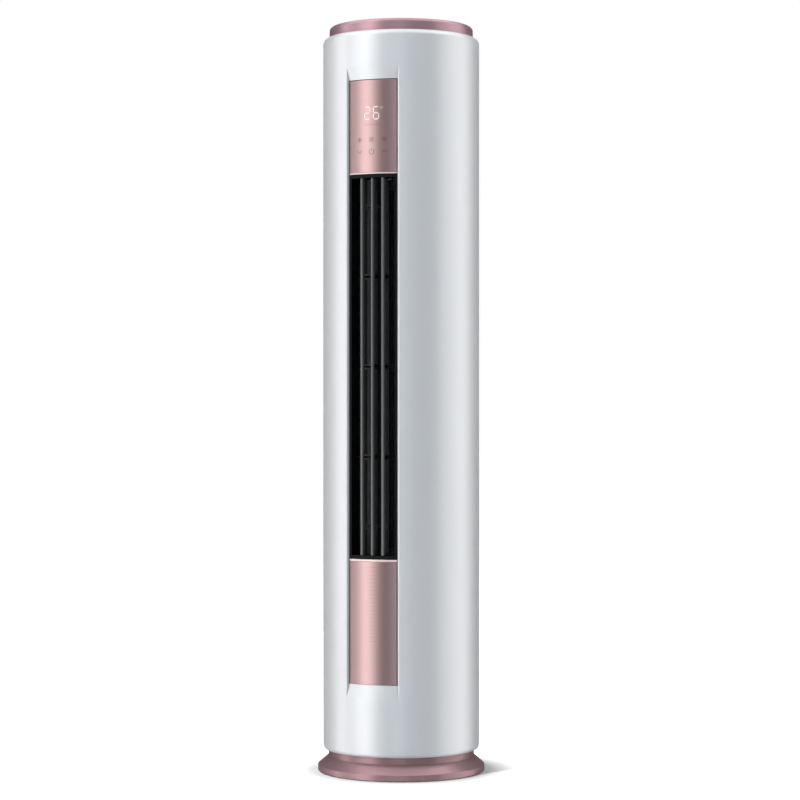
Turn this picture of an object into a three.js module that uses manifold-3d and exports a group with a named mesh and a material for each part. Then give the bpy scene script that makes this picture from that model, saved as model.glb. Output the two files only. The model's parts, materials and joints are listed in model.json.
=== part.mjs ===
// Floor standing cylindrical air conditioner, in millimetres, +Z up, front towards -Y.
// The origin is on the floor under the middle of the round base.
import * as THREE from "three";
import { mergeVertices } from "three/addons/utils/BufferGeometryUtils.js";
import Module from "manifold-3d";

const wasm = await Module();
wasm.setup();

// ---------------------------------------------------------------- driving sizes
const FIT = 0.3; // gap between two pieces that touch
const RUNNING = 0.35; // radial clearance of a turning pin in its hole

// Heights, stacked from the floor to the top.
const CASING_BOTTOM = 53;
const SKIRT_HEIGHT = 137; // plain casing under the recess
const SCOOP_LENGTH = 30; // sloped run-out at each end of the recess
const LOWER_PANEL_HEIGHT = 290;
const OUTLET_HEIGHT = 889;
const DISPLAY_HEIGHT = 219;
const CROWN_HEIGHT = 85; // plain casing over the recess
const CAP_RISE = 27;

// Casing
const BODY_RADIUS = 185;
const CASING_WALL = 3;
const SHOULDER_RADIUS = 14;
const HEM_RADIUS = 11;
const HEM_SWEEP = 62; // degrees that the bottom edge curls in
const SEAM_AZIMUTH = 112.5; // degrees from the front where the two casings meet
const FACET = 7.5; // degrees of each flat along the round casing
const COARSE = 32; // flats of a hidden round piece
const SMOOTH = 40; // flats of a round piece that is seen

// Recess, panels and outlet
const RECESS_DEPTH = 6.4;
const PANEL_THICKNESS = 2.7;
const PANEL_SINK = 5.9; // how far the panel face lies inside the casing's surface
const RECESS_HALF_WIDTH = 60.6;
const BEVEL_WIDTH = 5.7;
const RECESS_BACKING = 3;
const BACKING_MARGIN = 4; // degrees of thick wall beside the recess
const PANEL_EDGE_BEVEL = 4;
const DUCT_HALF_WIDTH = 54;
const FRAME_WALL = 3;
const FRAME_END_WALL = 8;
const FRAME_DEPTH = 56;
const FRAME_LIP_DEPTH = 8;

// Louvres and their linkage
const LOUVRE_COUNT = 3;
const LOUVRE_PITCH = 26;
const LOUVRE_CHORD = 32;
const LOUVRE_THICKNESS = 8;
const LOUVRE_TAIL = 1.8;
const LOUVRE_NOSE_TO_PIVOT = 12;
const LOUVRE_NOSE_SETBACK = 8; // nose behind the casing's surface
const LOUVRE_END_GAP = 1.2;
const PIVOT_RADIUS = 2;
const PIVOT_LENGTH = 6;
const CRANK = 16; // pivot to link pin
const LINK_PIN_RADIUS = 1.5;
const LINK_BAR_WIDTH = 5;
const LINK_BAR_THICKNESS = 3;
const LINK_BOSS_WALL = 1.4;
const LINK_BAR_OFFSET = 370; // above and below the middle of the outlet
const RIB_OFFSET = 209; // outer support ribs above and below the middle
const RIB_THICKNESS = 4;
const RIB_DEPTH = 7;
const NOTCH_HEIGHT = 12;

// Swing motor
const SWING_MOTOR_RADIUS = 14;
const SWING_MOTOR_HEIGHT = 19;
const SWING_SHAFT_RADIUS = 5;
const SWING_SHAFT_OFFSET = 8;
const SWING_COUPLER_HEIGHT = 11;
const SWING_SPINDLE_RADIUS = 2.5;
const SWING_EAR_REACH = 21;
const SWING_EAR_WIDTH = 7;
const SWING_EAR_THICKNESS = 1.5;
const SWING_LEG_RADIUS = 3;
const SWING_LEG_AT = 17.5;
const SWING_PLUG_WIDTH = 16;
const SWING_PLUG_REACH = 4;

// Display board and its holder
const DISPLAY_BOARD_WIDTH = 76;
const DISPLAY_BOARD_HEIGHT = 150;
const DISPLAY_BOARD_AT = 36; // over the display panel's lower edge
const BOARD_EDGE = 6; // board behind the edge of the casing's window
const LED_WIDTH = 42;
const LED_HEIGHT = 28;
const LED_DEPTH = 3.2;
const LED_AT = 82;
const KEY_RADIUS = 5;
const KEY_PITCH = 20;
const KEY_AT = 34;
const HOLDER_WALL = 2;
const HOLDER_DEPTH = 14;
const HOLDER_POST = 4;

// Base
const BASE_OVERHANG = 12.2; // base outside the casing
const BASE_LIFT = 2; // plinth edge above the floor
const BASE_RIM_HEIGHT = 14;
const NECK_INSET = 12.5; // neck inside the casing's surface
const NECK_START = 37;
const BASE_WALL = 3;
const BASE_FLANGE_RISE = 13; // flange above the casing's lower edge
const PAN_BOTTOM = 4;
const SHEET_STEEL = 2;
const PAN_RIM_HEIGHT = 9;
const FOOT_RADIUS = 15;
const FOOT_INSET = 31; // foot's middle inside the base's edge
const FOOT_COUNT = 4;

// Top
const CAP_GAP = 1; // shadow gap round the cap
const CAP_FILLET = 9;
const CAP_WALL = 3;
const CAP_SEAT_DEPTH = 11; // cap skirt below the casing's top edge
const TOP_DECK_STEP = 7;

// Frame inside
const POST_AZIMUTH = 58;
const POST_STANDOFF = 22; // middle of the post inside the casing
const POST_WIDTH = 28;
const POST_DEPTH = 14;
const DECK_CLEARANCE = 4;
const DECK_THICKNESS = 3;
const DECK_DROP = 19; // lower deck under the outlet's bottom edge
const DECK_RISE = 13; // upper deck over the outlet's top edge
const DECK_TAB_SPAN = 12; // half the sector, in degrees, where a deck meets the casing

// Cross-flow fan
const FAN_X = -6;
const FAN_Y = -30;
const FAN_RADIUS = 50;
const FAN_BLADE_DEPTH = 12;
const FAN_BLADES = 15;
const FAN_BLADE_THICKNESS = 1.6;
const FAN_BLADE_LEAN = 7; // degrees that the outer edge runs ahead
const FAN_SEGMENTS = 2;
const FAN_DISC = 3;
const FAN_END_GAP = 4;
const FAN_SHAFT_RADIUS = 5;
const VOLUTE_GAP_START = 5;
const VOLUTE_WALL = 3;
const VOLUTE_START = 55; // degrees behind the fan's right-hand side
const TONGUE_AZIMUTH = 205; // degrees from the fan's right-hand side
const BAFFLE_SETBACK = 38; // coil baffle behind the outlet frame
const COIL_BAFFLE_GAP = 3;
const TONGUE_GAP = 4.5;
const MOTOR_RADIUS = 48;
const MOTOR_HEIGHT = 58;
const STRAP_WIDTH = 22;
const STRAP_FOOT = 14;

// Evaporator and drain pan
const COIL_CLEARANCE = 32; // coil inside the casing
const COIL_DEPTH = 24;
const COIL_SWEEP = 100; // degrees to each side of the back
const COIL_TOP_GAP = 26;
const TUBE_SHEET = 2;
const BEND_COUNT = 6;
const BEND_RADIUS = 12.5;
const BEND_TUBE_RADIUS = 4;
const BEND_STEPS = 4; // straight lengths of each bend
const DRAIN_PAN_WALL = 2;
const DRAIN_PAN_MARGIN = 9;
const DRAIN_PAN_HEIGHT = 29;
const SPOUT_RADIUS = 9;
const SPOUT_AZIMUTH = 196;
const SPOUT_LENGTH = 30; // under the deck
const HOSE_WALL = 1.8;
const HOSE_LAP = 24; // of the hose over the spout
const HOSE_STRAIGHT = 45;
const HOSE_END = 60; // over the middle of the pipe hole
const HOSE_SWAY = 8;

// Back grilles and filters
const SPINE_HALF_ANGLE = 7.5; // degrees of plain casing between the two grilles
const GRILLE_SPAN = 45; // degrees
const GRILLE_COLUMNS = 6;
const GRILLE_INSET = 0.4;
const GRILLE_WALL = 2.6;
const GRILLE_SLOT_WIDTH = 11;
const GRILLE_TIERS = 3;
const GRILLE_DROP = 8; // grille's lower edge under the outlet's
const GRILLE_OVER = 6; // and its upper edge over the outlet's
const GRILLE_BORDER = 18;
const GRILLE_RAIL = 12;
const GRILLE_EDGE_ANGLE = 4; // degrees of plain border at each side
const GRILLE_PULL_WIDTH = 32;
const GRILLE_PULL_HEIGHT = 9;
const HOOK_WIDTH = 12;
const HOOK_LENGTH = 7;
const HOOK_AZIMUTH = 11.25; // degrees to each side of the grille's middle
const FILTER_DEPTH = 3;
const FILTER_BORDER = 10;
const FILTER_MESH = 0.8;
const FILTER_RISE = 16; // over the grille window's lower edge
const FILTER_DROP = 12; // under its upper edge
const FILTER_BAYS = 2;
const FILTER_EDGE_ANGLE = 1; // degrees between filter and window edge

// Pipes
const PIPE_HOLE_RADIUS = 36;
const PIPE_HOLE_HEIGHT = 132;
const HOLE_SIDES = 20;
const COLLAR_WALL = 3;
const COLLAR_DEPTH = 12;
const COLLAR_PROUD = 0.5; // of the casing's surface
const PIPE_CLEARANCE = 3; // room round a pipe in the deck
const GAS_PIPE_RADIUS = 6.35;
const LIQUID_PIPE_RADIUS = 4.75;
const NUT_LENGTH = 24;
const PIPE_INSET = 16; // pipes inside the coil
const GAS_AZIMUTH = 232;
const LIQUID_AZIMUTH = 222;
const PIPE_ENTRY = 120; // above the drain pan's rim
const BRACKET_Y = 62;
const BRACKET_HALF_WIDTH = 34;
const BRACKET_TREAD = 26;
const PIPE_END_SPREAD = 14;
const PIPE_END_RISE = 6;

// Electrical box
const BOX_WIDTH = 150;
const BOX_DEPTH = 82;
const BOX_HEIGHT = 190;
const BOX_SHEET = 1.5;
const BOARD_THICKNESS = 1.6;
const BOARD_MARGIN = 14; // between the board's edge and the box
const BOARD_STANDOFF = 8;
const LEG_WIDTH = 6;
const RELAY_COUNT = 3;
const RELAY_PITCH = 42;
const RELAY_WIDTH = 16;
const RELAY_HEIGHT = 26;
const RELAY_DEPTH = 18;
const SINK_WIDTH = 18;
const SINK_HEIGHT = 80;
const SINK_DEPTH = 26;
const TERMINAL_GAP = 13; // between it and the capacitor
const TERMINAL_SETBACK = 10;
const TERMINAL_DEPTH = 24;
const TERMINAL_HEIGHT = 12;
const TERMINAL_WAYS = 4;
const TERMINAL_PITCH = 14;
const CAPACITOR_RADIUS = 15;
const CAPACITOR_HEIGHT = 52;

// ---------------------------------------------------------------- derived places
const rad = THREE.MathUtils.degToRad;
const deg = THREE.MathUtils.radToDeg;
const zRecessBottom = CASING_BOTTOM + SKIRT_HEIGHT;
const zLowerPanel = zRecessBottom + SCOOP_LENGTH;
const zOutlet = zLowerPanel + LOWER_PANEL_HEIGHT;
const zDisplay = zOutlet + OUTLET_HEIGHT;
const zDisplayTop = zDisplay + DISPLAY_HEIGHT;
const zRecessTop = zDisplayTop + SCOOP_LENGTH;
const zCasingTop = zRecessTop + CROWN_HEIGHT;
const zTop = zCasingTop + CAP_RISE;
const zOutletMiddle = zOutlet + OUTLET_HEIGHT / 2;

const casingInner = BODY_RADIUS - CASING_WALL;
const casingClear = casingInner * Math.cos(rad(FACET / 2)) - FIT; // the widest round that fits inside
const neckRadius = BODY_RADIUS - NECK_INSET;
const baseRadius = BODY_RADIUS + BASE_OVERHANG;
const footCircle = baseRadius - FOOT_INSET;
const capRadius = BODY_RADIUS - SHOULDER_RADIUS - CAP_GAP;
const postRadius = casingInner - POST_STANDOFF;
const deckRadius = casingInner - DECK_CLEARANCE; // without its two tabs
const panelFace = BODY_RADIUS - PANEL_SINK;
const panelBack = panelFace - PANEL_THICKNESS;
const recessFloor = panelBack - FIT;
const recessBack = recessFloor - RECESS_BACKING;
const zLowerDeck = zOutlet - DECK_DROP; // underside
const zLowerDeckTop = zLowerDeck + DECK_THICKNESS;
const zUpperDeck = zDisplay + DECK_RISE;
const zUpperDeckTop = zUpperDeck + DECK_THICKNESS;
const zTopDeck = zCasingTop - CAP_SEAT_DEPTH - TOP_DECK_STEP - DECK_THICKNESS;
const zCapSeat = zCasingTop - CAP_SEAT_DEPTH;
const coilOuter = casingInner - COIL_CLEARANCE;
const coilInner = coilOuter - COIL_DEPTH;
const zCoil = zLowerDeckTop + FIT + DRAIN_PAN_WALL + FIT;
const zCoilTop = zUpperDeck - COIL_TOP_GAP;

const louvreNoseY = -(BODY_RADIUS - LOUVRE_NOSE_SETBACK);
const pivotY = louvreNoseY + LOUVRE_NOSE_TO_PIVOT;
const zLouvre = zOutlet + FRAME_END_WALL + LOUVRE_END_GAP;
const zLouvreTop = zDisplay - FRAME_END_WALL - LOUVRE_END_GAP;
const louvreXs = Array.from(
  { length: LOUVRE_COUNT },
  (_, i) => (i - (LOUVRE_COUNT - 1) / 2) * LOUVRE_PITCH,
);
const ribHeights = [-RIB_OFFSET, 0, RIB_OFFSET].map((z) => zOutletMiddle + z);
const linkHeights = [-LINK_BAR_OFFSET, LINK_BAR_OFFSET].map((z) => zOutletMiddle + z);
const frameBackY = -(BODY_RADIUS - LOUVRE_NOSE_SETBACK) + FRAME_DEPTH;

const FAR = 4 * BODY_RADIUS; // beyond every piece
const ROOT = 0.5; // how far a small form is sunk in the face that carries it
const PIN_SIDES = 6; // flats of a small pin or bore
const SHAFT_SIDES = 12; // flats of a shaft, hub or bearing

// ---------------------------------------------------------------- solids
// A closed geometry as a solid that can be joined and cut.
function solid(geometry) {
  const bare = geometry.index ? geometry.toNonIndexed() : geometry.clone();
  bare.deleteAttribute("normal");
  bare.deleteAttribute("uv");
  const merged = mergeVertices(bare, 1e-4);
  const kept = [];
  const index = merged.index.array;
  for (let i = 0; i < index.length; i += 3) {
    const [a, b, c] = [index[i], index[i + 1], index[i + 2]];
    if (a !== b && b !== c && a !== c) kept.push(a, b, c);
  }
  return new wasm.Manifold(
    new wasm.Mesh({
      numProp: 3,
      vertProperties: new Float32Array(merged.attributes.position.array),
      triVerts: new Uint32Array(kept),
    }),
  );
}

function geometryOf(made) {
  const mesh = made.getMesh();
  const position = new Float32Array(mesh.numVert * 3);
  for (let i = 0; i < mesh.numVert; i++) {
    position.set(mesh.vertProperties.subarray(i * mesh.numProp, i * mesh.numProp + 3), i * 3);
  }
  const geometry = new THREE.BufferGeometry();
  geometry.setAttribute("position", new THREE.BufferAttribute(position, 3));
  geometry.setIndex(new THREE.BufferAttribute(new Uint32Array(mesh.triVerts), 1));
  geometry.computeVertexNormals();
  return geometry;
}

const join = (...solids) => solids.reduce((all, one) => all.add(one));
const cut = (body, ...tools) => tools.reduce((left, tool) => left.subtract(tool), body);

// A point at a radius and an azimuth in degrees: 0 is the front, 90 the right-hand side (+X).
const polar = (radius, azimuth) =>
  new THREE.Vector2(radius * Math.sin(rad(azimuth)), -radius * Math.cos(rad(azimuth)));

// Turns an (r, z) profile about the vertical axis. Its flats join at multiples of 360 / segments.
function revolve(profile, segments = 360 / FACET) {
  const points = profile.map(([r, z]) => new THREE.Vector2(r, z));
  if (THREE.ShapeUtils.area(points) < 0) points.reverse();
  const closed = points[0].x > 0 || points.at(-1).x > 0;
  if (closed) points.push(points[0].clone());
  return solid(new THREE.LatheGeometry(points, segments).rotateX(Math.PI / 2));
}

// Rises a plan outline from z0 to z1.
function rise(outline, z0, z1) {
  const shape = outline instanceof THREE.Shape ? outline : new THREE.Shape(outline);
  const geometry = new THREE.ExtrudeGeometry(shape, {
    depth: z1 - z0,
    bevelEnabled: false,
    curveSegments: 3,
  });
  return solid(geometry.translate(0, 0, z0));
}

const rectangle = (x0, y0, x1, y1) => [
  new THREE.Vector2(x0, y0),
  new THREE.Vector2(x1, y0),
  new THREE.Vector2(x1, y1),
  new THREE.Vector2(x0, y1),
];

const block = (x0, y0, z0, x1, y1, z1) => rise(rectangle(x0, y0, x1, y1), z0, z1);

function rod(x, y, radius, z0, z1, sides = 16) {
  const geometry = new THREE.CylinderGeometry(radius, radius, z1 - z0, sides);
  return solid(geometry.rotateX(Math.PI / 2).translate(x, y, (z0 + z1) / 2));
}

// A wedge of space between two azimuths, less than half a turn apart.
function wedge(from, to, z0, z1) {
  const corners = [new THREE.Vector2(0, 0)];
  const steps = 4;
  for (let i = 0; i <= steps; i++) corners.push(polar(FAR, from + ((to - from) * i) / steps));
  return rise(corners, z0, z1);
}

// Part of a ring between two radii and two azimuths, with its flats on the casing's own grid.
function ringSector(inner, outer, from, to, z0, z1) {
  const ring = revolve([[inner, z0], [outer, z0], [outer, z1], [inner, z1]]);
  return ring.intersect(wedge(from, to, z0 - 1, z1 + 1));
}

function arcPoints(centreR, centreZ, radius, from, to, steps) {
  return Array.from({ length: steps + 1 }, (_, i) => {
    const angle = rad(from + ((to - from) * i) / steps);
    return [centreR + radius * Math.cos(angle), centreZ + radius * Math.sin(angle)];
  });
}

// A round tube or bar along a smooth line through the given points.
function pipe(points, radius, steps, sides = 8) {
  const path = new THREE.CatmullRomCurve3(points.map((p) => new THREE.Vector3(...p)), false, "centripetal");
  const shape = new THREE.Shape();
  for (let i = 0; i < sides; i++) {
    const angle = (2 * Math.PI * i) / sides;
    const [x, y] = [radius * Math.cos(angle), radius * Math.sin(angle)];
    if (i) shape.lineTo(x, y);
    else shape.moveTo(x, y);
  }
  return solid(new THREE.ExtrudeGeometry(shape, { extrudePath: path, steps, bevelEnabled: false }));
}

// ---------------------------------------------------------------- finishes
const finish = (color, roughness, metalness) =>
  new THREE.MeshStandardMaterial({ color, roughness, metalness });
const WHITE = finish(0xe9ebee, 0.28, 0);
const ROSE = finish(0xc79a9c, 0.32, 0.75);
const ROSE_PLASTIC = finish(0xa97880, 0.35, 0.4);
const BLACK = finish(0x17181a, 0.45, 0);
const GREY_PLASTIC = finish(0x55585c, 0.5, 0);
const STEEL = finish(0xb5b9bd, 0.45, 0.9);
const FINS = finish(0xc9ced2, 0.5, 0.85);
const COPPER = finish(0xb87447, 0.35, 0.95);
const BRASS = finish(0xc9a45a, 0.3, 0.95);
const RUBBER = finish(0x1d1d1e, 0.85, 0);
const FOAM = finish(0xd8dadb, 0.9, 0);
const BOARD = finish(0x1f6b3f, 0.6, 0);
const MESH = finish(0x9aa0a5, 0.8, 0);

// ---------------------------------------------------------------- outer casing
function casingRing() {
  const hemCentre = BODY_RADIUS - HEM_RADIUS;
  const hemZ = CASING_BOTTOM + HEM_RADIUS * Math.sin(rad(HEM_SWEEP));
  const shoulderCentre = BODY_RADIUS - SHOULDER_RADIUS;
  const shoulderZ = zCasingTop - SHOULDER_RADIUS;
  return revolve([
    ...arcPoints(hemCentre, hemZ, HEM_RADIUS, -HEM_SWEEP, 0, 2),
    ...arcPoints(shoulderCentre, shoulderZ, SHOULDER_RADIUS, 0, 90, 3),
    ...arcPoints(shoulderCentre, shoulderZ, SHOULDER_RADIUS - CASING_WALL, 90, 0, 1),
    ...arcPoints(hemCentre, hemZ, HEM_RADIUS - CASING_WALL, 0, -HEM_SWEEP, 1),
  ]);
}

// The plan of the recess: side walls that slope in to the panels, then run straight to the floor.
function recessChannel(halfWidth, z0, z1) {
  const innerY = -Math.sqrt(panelFace ** 2 - halfWidth ** 2);
  const outerX = halfWidth + BEVEL_WIDTH;
  const outerY = -Math.sqrt(BODY_RADIUS ** 2 - outerX ** 2);
  const reach = 3; // carries the slope clear of the casing's surface
  const farX = halfWidth + reach * (outerX - halfWidth);
  const farY = innerY + reach * (outerY - innerY);
  const half = [
    new THREE.Vector2(halfWidth, innerY + RECESS_DEPTH * 3),
    new THREE.Vector2(halfWidth, innerY),
    new THREE.Vector2(farX, farY),
    new THREE.Vector2(farX, -FAR / 2),
  ];
  const other = half.map((p) => new THREE.Vector2(-p.x, p.y)).reverse();
  return rise([...half, ...other].reverse(), z0, z1);
}

// What stays of the body behind the recess: the floor, and the slopes that run out at both ends.
function recessCore() {
  const past = 1; // the slope is carried on past the casing's surface
  const scoopFoot = BODY_RADIUS - RECESS_DEPTH;
  const slope = SCOOP_LENGTH / RECESS_DEPTH;
  return revolve([
    [0, zRecessBottom - past * slope],
    [BODY_RADIUS + past, zRecessBottom - past * slope],
    [scoopFoot, zLowerPanel - FIT],
    [recessFloor, zLowerPanel - FIT],
    [recessFloor, zDisplayTop + FIT],
    [scoopFoot, zDisplayTop + FIT],
    [BODY_RADIUS + past, zRecessTop + past * slope],
    [0, zRecessTop + past * slope],
  ]);
}

const recessAngle = deg(
  Math.asin((RECESS_HALF_WIDTH + BEVEL_WIDTH) / BODY_RADIUS),
);

function frontCasing() {
  const backing = ringSector(
    recessBack,
    casingInner + CASING_WALL / 2,
    -recessAngle - BACKING_MARGIN,
    recessAngle + BACKING_MARGIN,
    zRecessBottom - 2 * CASING_WALL,
    zRecessTop + 2 * CASING_WALL,
  );
  const recess = cut(recessChannel(RECESS_HALF_WIDTH, zRecessBottom, zRecessTop), recessCore());
  const window = block(
    -RECESS_HALF_WIDTH, -FAR, zOutlet - FIT,
    RECESS_HALF_WIDTH, -BODY_RADIUS / 2, zDisplay + FIT,
  );
  const boardWindow = block(
    -DISPLAY_BOARD_WIDTH / 2 + BOARD_EDGE, -FAR, zDisplayBoard + BOARD_EDGE,
    DISPLAY_BOARD_WIDTH / 2 - BOARD_EDGE, -BODY_RADIUS / 2, zDisplayBoard + DISPLAY_BOARD_HEIGHT - BOARD_EDGE,
  );
  const back = wedge(SEAM_AZIMUTH, 360 - SEAM_AZIMUTH, 0, FAR * 4);
  return cut(join(casingRing(), backing), back, recess, window, boardWindow);
}

const seamGapAngle = deg(FIT / BODY_RADIUS);
const grilleMiddle = 180 - SPINE_HALF_ANGLE - GRILLE_SPAN / 2;
const zGrille = zOutlet - GRILLE_DROP;
const zGrilleTop = zDisplay + GRILLE_OVER;
const grilleOuter = BODY_RADIUS - GRILLE_INSET;
const edgeGapAngle = deg((FIT + 0.2) / BODY_RADIUS);

function rearCasing() {
  const from = SEAM_AZIMUTH + seamGapAngle;
  const shell = casingRing().intersect(wedge(from, 360 - from, 0, FAR * 4));
  const windows = [-1, 1].map((side) => {
    const middle = 180 + side * (SPINE_HALF_ANGLE + GRILLE_SPAN / 2);
    return wedge(middle - GRILLE_SPAN / 2, middle + GRILLE_SPAN / 2, zGrille, zGrilleTop);
  });
  const pipeWindow = solid(
    new THREE.CylinderGeometry(PIPE_HOLE_RADIUS, PIPE_HOLE_RADIUS, BODY_RADIUS, HOLE_SIDES)
      .translate(0, BODY_RADIUS, PIPE_HOLE_HEIGHT),
  );
  const bosses = screwPlaces.map(([azimuth, z]) => {
    const at = polar(casingInner - SCREW_BOSS_DEPTH / 2, azimuth);
    return radialRod(at, azimuth, SCREW_BOSS_RADIUS, SCREW_BOSS_DEPTH + CASING_WALL, z);
  });
  const holes = screwPlaces.map(([azimuth, z]) =>
    radialRod(polar(BODY_RADIUS, azimuth), azimuth, SCREW_RADIUS + FIT, 6 * SCREW_BOSS_DEPTH, z),
  );
  const sunk = screwPlaces.map(([azimuth, z]) =>
    radialRod(polar(BODY_RADIUS, azimuth), azimuth, SCREW_HEAD_RADIUS + FIT, 2 * SCREW_SINK, z),
  );
  return cut(join(shell, ...bosses), ...windows, pipeWindow, ...holes, ...sunk);
}

// Screws through the back casing into its bosses.
const SCREW_RADIUS = 2;
const SCREW_HEAD_RADIUS = 3.6;
const SCREW_HEAD_HEIGHT = 1.8;
const SCREW_LENGTH = 10;
const SCREW_SINK = 2.2;
const SCREW_SLOT = 1; // width of the driver's slot
const SCREW_BOSS_RADIUS = 6;
const SCREW_BOSS_DEPTH = 8;
const SCREW_AZIMUTH = 58; // degrees to each side of the back
const SCREW_AWAY = 60; // over and under the grilles
const screwPlaces = [zGrille - SCREW_AWAY, zGrilleTop + SCREW_AWAY].flatMap((z) => [
  [180 - SCREW_AZIMUTH, z],
  [180 + SCREW_AZIMUTH, z],
]);

// A rod that lies along the radius at an azimuth.
function radialRod(at, azimuth, radius, length, z, sides = 8) {
  const geometry = new THREE.CylinderGeometry(radius, radius, length, sides);
  return solid(geometry.rotateZ(rad(azimuth)).translate(at.x, at.y, z));
}

// Built along +Y with its head at the origin, so that it can be placed by its mesh.
function casingScrew() {
  const profile = [
    [0, 0], [SCREW_HEAD_RADIUS, 0], [SCREW_HEAD_RADIUS, -SCREW_HEAD_HEIGHT],
    [SCREW_RADIUS, -SCREW_HEAD_HEIGHT], [SCREW_RADIUS, -SCREW_LENGTH], [0, -SCREW_LENGTH],
  ];
  const slot = block(-FAR, -SCREW_SLOT / 2, -SCREW_HEAD_HEIGHT / 2, FAR, SCREW_SLOT / 2, 1);
  return cut(revolve(profile, PIN_SIDES), slot);
}

// ---------------------------------------------------------------- panels in the recess
const PANEL_BEVEL_SHARE = 0.6; // depth of a panel's bevel over its thickness
const PANEL_END_BEVEL = 0.6; // height of the bevel away from the outlet

function panel(z0, z1, bevelBottom, bevelTop) {
  const bevelDepth = PANEL_THICKNESS * PANEL_BEVEL_SHARE;
  const plate = revolve([
    [panelBack, z0 + FIT],
    [panelFace - bevelDepth, z0 + FIT],
    [panelFace, z0 + FIT + bevelBottom],
    [panelFace, z1 - FIT - bevelTop],
    [panelFace - bevelDepth, z1 - FIT],
    [panelBack, z1 - FIT],
  ]);
  const side = RECESS_HALF_WIDTH - FIT;
  return plate.intersect(block(-side, -FAR, z0, side, 0, z1));
}

const zDisplayBoard = zDisplay + DISPLAY_BOARD_AT;
const holderHalfWidth = DISPLAY_BOARD_WIDTH / 2 + FIT + HOLDER_WALL;
const boardFrontY = -Math.sqrt(recessBack ** 2 - holderHalfWidth ** 2) + FIT;

const KEY_SIDES = 8;

// The display's circuit board, flat behind the casing's board window.
function displayBoard() {
  const half = DISPLAY_BOARD_WIDTH / 2;
  const backY = boardFrontY + BOARD_THICKNESS;
  const plate = block(-half, boardFrontY, zDisplayBoard, half, backY, zDisplayBoard + DISPLAY_BOARD_HEIGHT);
  const ledZ = zDisplayBoard + LED_AT;
  const led = block(
    -LED_WIDTH / 2, boardFrontY - LED_DEPTH, ledZ,
    LED_WIDTH / 2, boardFrontY + ROOT, ledZ + LED_HEIGHT,
  );
  const keys = [-KEY_PITCH, 0, KEY_PITCH].map((x) =>
    rod(x, 0, KEY_RADIUS, 0, LED_DEPTH + ROOT, KEY_SIDES)
      .rotate([90, 0, 0])
      .translate([0, boardFrontY + ROOT, zDisplayBoard + KEY_AT]),
  );
  return join(plate, led, ...keys);
}

// A shallow tray that holds the board against the casing.
function displayHolder() {
  const wall = HOLDER_WALL;
  const side = DISPLAY_BOARD_WIDTH / 2 + FIT;
  const backY = boardFrontY + HOLDER_DEPTH;
  const zTray = zDisplayBoard + DISPLAY_BOARD_HEIGHT;
  const tray = block(
    -side - wall, boardFrontY, zDisplayBoard - FIT - wall,
    side + wall, backY, zTray + FIT + wall,
  );
  const hollow = block(-side, boardFrontY - 1, zDisplayBoard - FIT, side, backY - wall, zTray + FIT);
  const postFront = boardFrontY + BOARD_THICKNESS + FIT;
  const postX = side - 2 * HOLDER_POST;
  const posts = [-postX, postX].flatMap((x) =>
    [zDisplayBoard + 4 * HOLDER_POST, zTray - 4 * HOLDER_POST].map((z) =>
      block(x - HOLDER_POST, postFront, z - HOLDER_POST, x + HOLDER_POST, backY - 1, z + HOLDER_POST),
    ),
  );
  return join(cut(tray, hollow), ...posts);
}

// ---------------------------------------------------------------- outlet
const lipX = RECESS_HALF_WIDTH - FIT;

function outletFrame() {
  const z0 = zOutlet + FIT;
  const z1 = zDisplay - FIT;
  const backWall = DUCT_HALF_WIDTH + FRAME_WALL;
  const lipBackY = -Math.sqrt(panelFace ** 2 - lipX ** 2) + FRAME_LIP_DEPTH;
  const lip = block(-lipX, -FAR, z0, lipX, lipBackY, z1);
  const duct = block(-backWall, -FAR, z0, backWall, frameBackY, z1);
  const face = revolve([[0, z0 - 1], [panelFace, z0 - 1], [panelFace, z1 + 1], [0, z1 + 1]]);
  const bore = block(
    -DUCT_HALF_WIDTH, -FAR, zOutlet + FRAME_END_WALL,
    DUCT_HALF_WIDTH, FAR, zDisplay - FRAME_END_WALL,
  );
  const pivotHoles = louvreXs.map((x) =>
    rod(x, pivotY, boreRadius(PIVOT_RADIUS), zOutlet - 1, zDisplay + 1, PIN_SIDES),
  );
  return join(cut(join(lip, duct).intersect(face), bore), ...ribHeights.map(supportRib)).subtract(
    join(...pivotHoles),
  );
}

// The radius of a six-sided hole that a pin turns in.
const boreRadius = (pin) => (pin + RUNNING) / Math.cos(Math.PI / PIN_SIDES);
const CLIP_WALL = 2;
const clipOuter = boreRadius(PIVOT_RADIUS) + CLIP_WALL;
const RIB_BEHIND_LINK = 6; // from the link pins back to the crossbars
const RIB_ARM_HALF_WIDTH = 2;
const CLIP_MOUTH = 1.6; // width of an open clip's mouth over its pin's radius
const ribFrontY = pivotY + CRANK + RIB_BEHIND_LINK;

// A crossbar behind the louvres, with an arm and an open clip for each louvre's journal.
function supportRib(z) {
  const z0 = z - RIB_THICKNESS / 2;
  const z1 = z + RIB_THICKNESS / 2;
  const overlap = FRAME_WALL / 2;
  const bar = block(
    -DUCT_HALF_WIDTH - overlap, ribFrontY, z0,
    DUCT_HALF_WIDTH + overlap, ribFrontY + RIB_DEPTH, z1,
  );
  const arms = louvreXs.map((x) =>
    block(x - RIB_ARM_HALF_WIDTH, pivotY, z0, x + RIB_ARM_HALF_WIDTH, ribFrontY + 1, z1),
  );
  const clips = louvreXs.map((x) => rod(x, pivotY, clipOuter, z0, z1, PIN_SIDES));
  const mouth = PIVOT_RADIUS * CLIP_MOUTH;
  const mouths = louvreXs.map((x) =>
    block(x - mouth / 2, pivotY - 2 * clipOuter, z0 - 1, x + mouth / 2, pivotY, z1 + 1),
  );
  return cut(join(bar, ...arms, ...clips), ...mouths);
}

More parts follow.
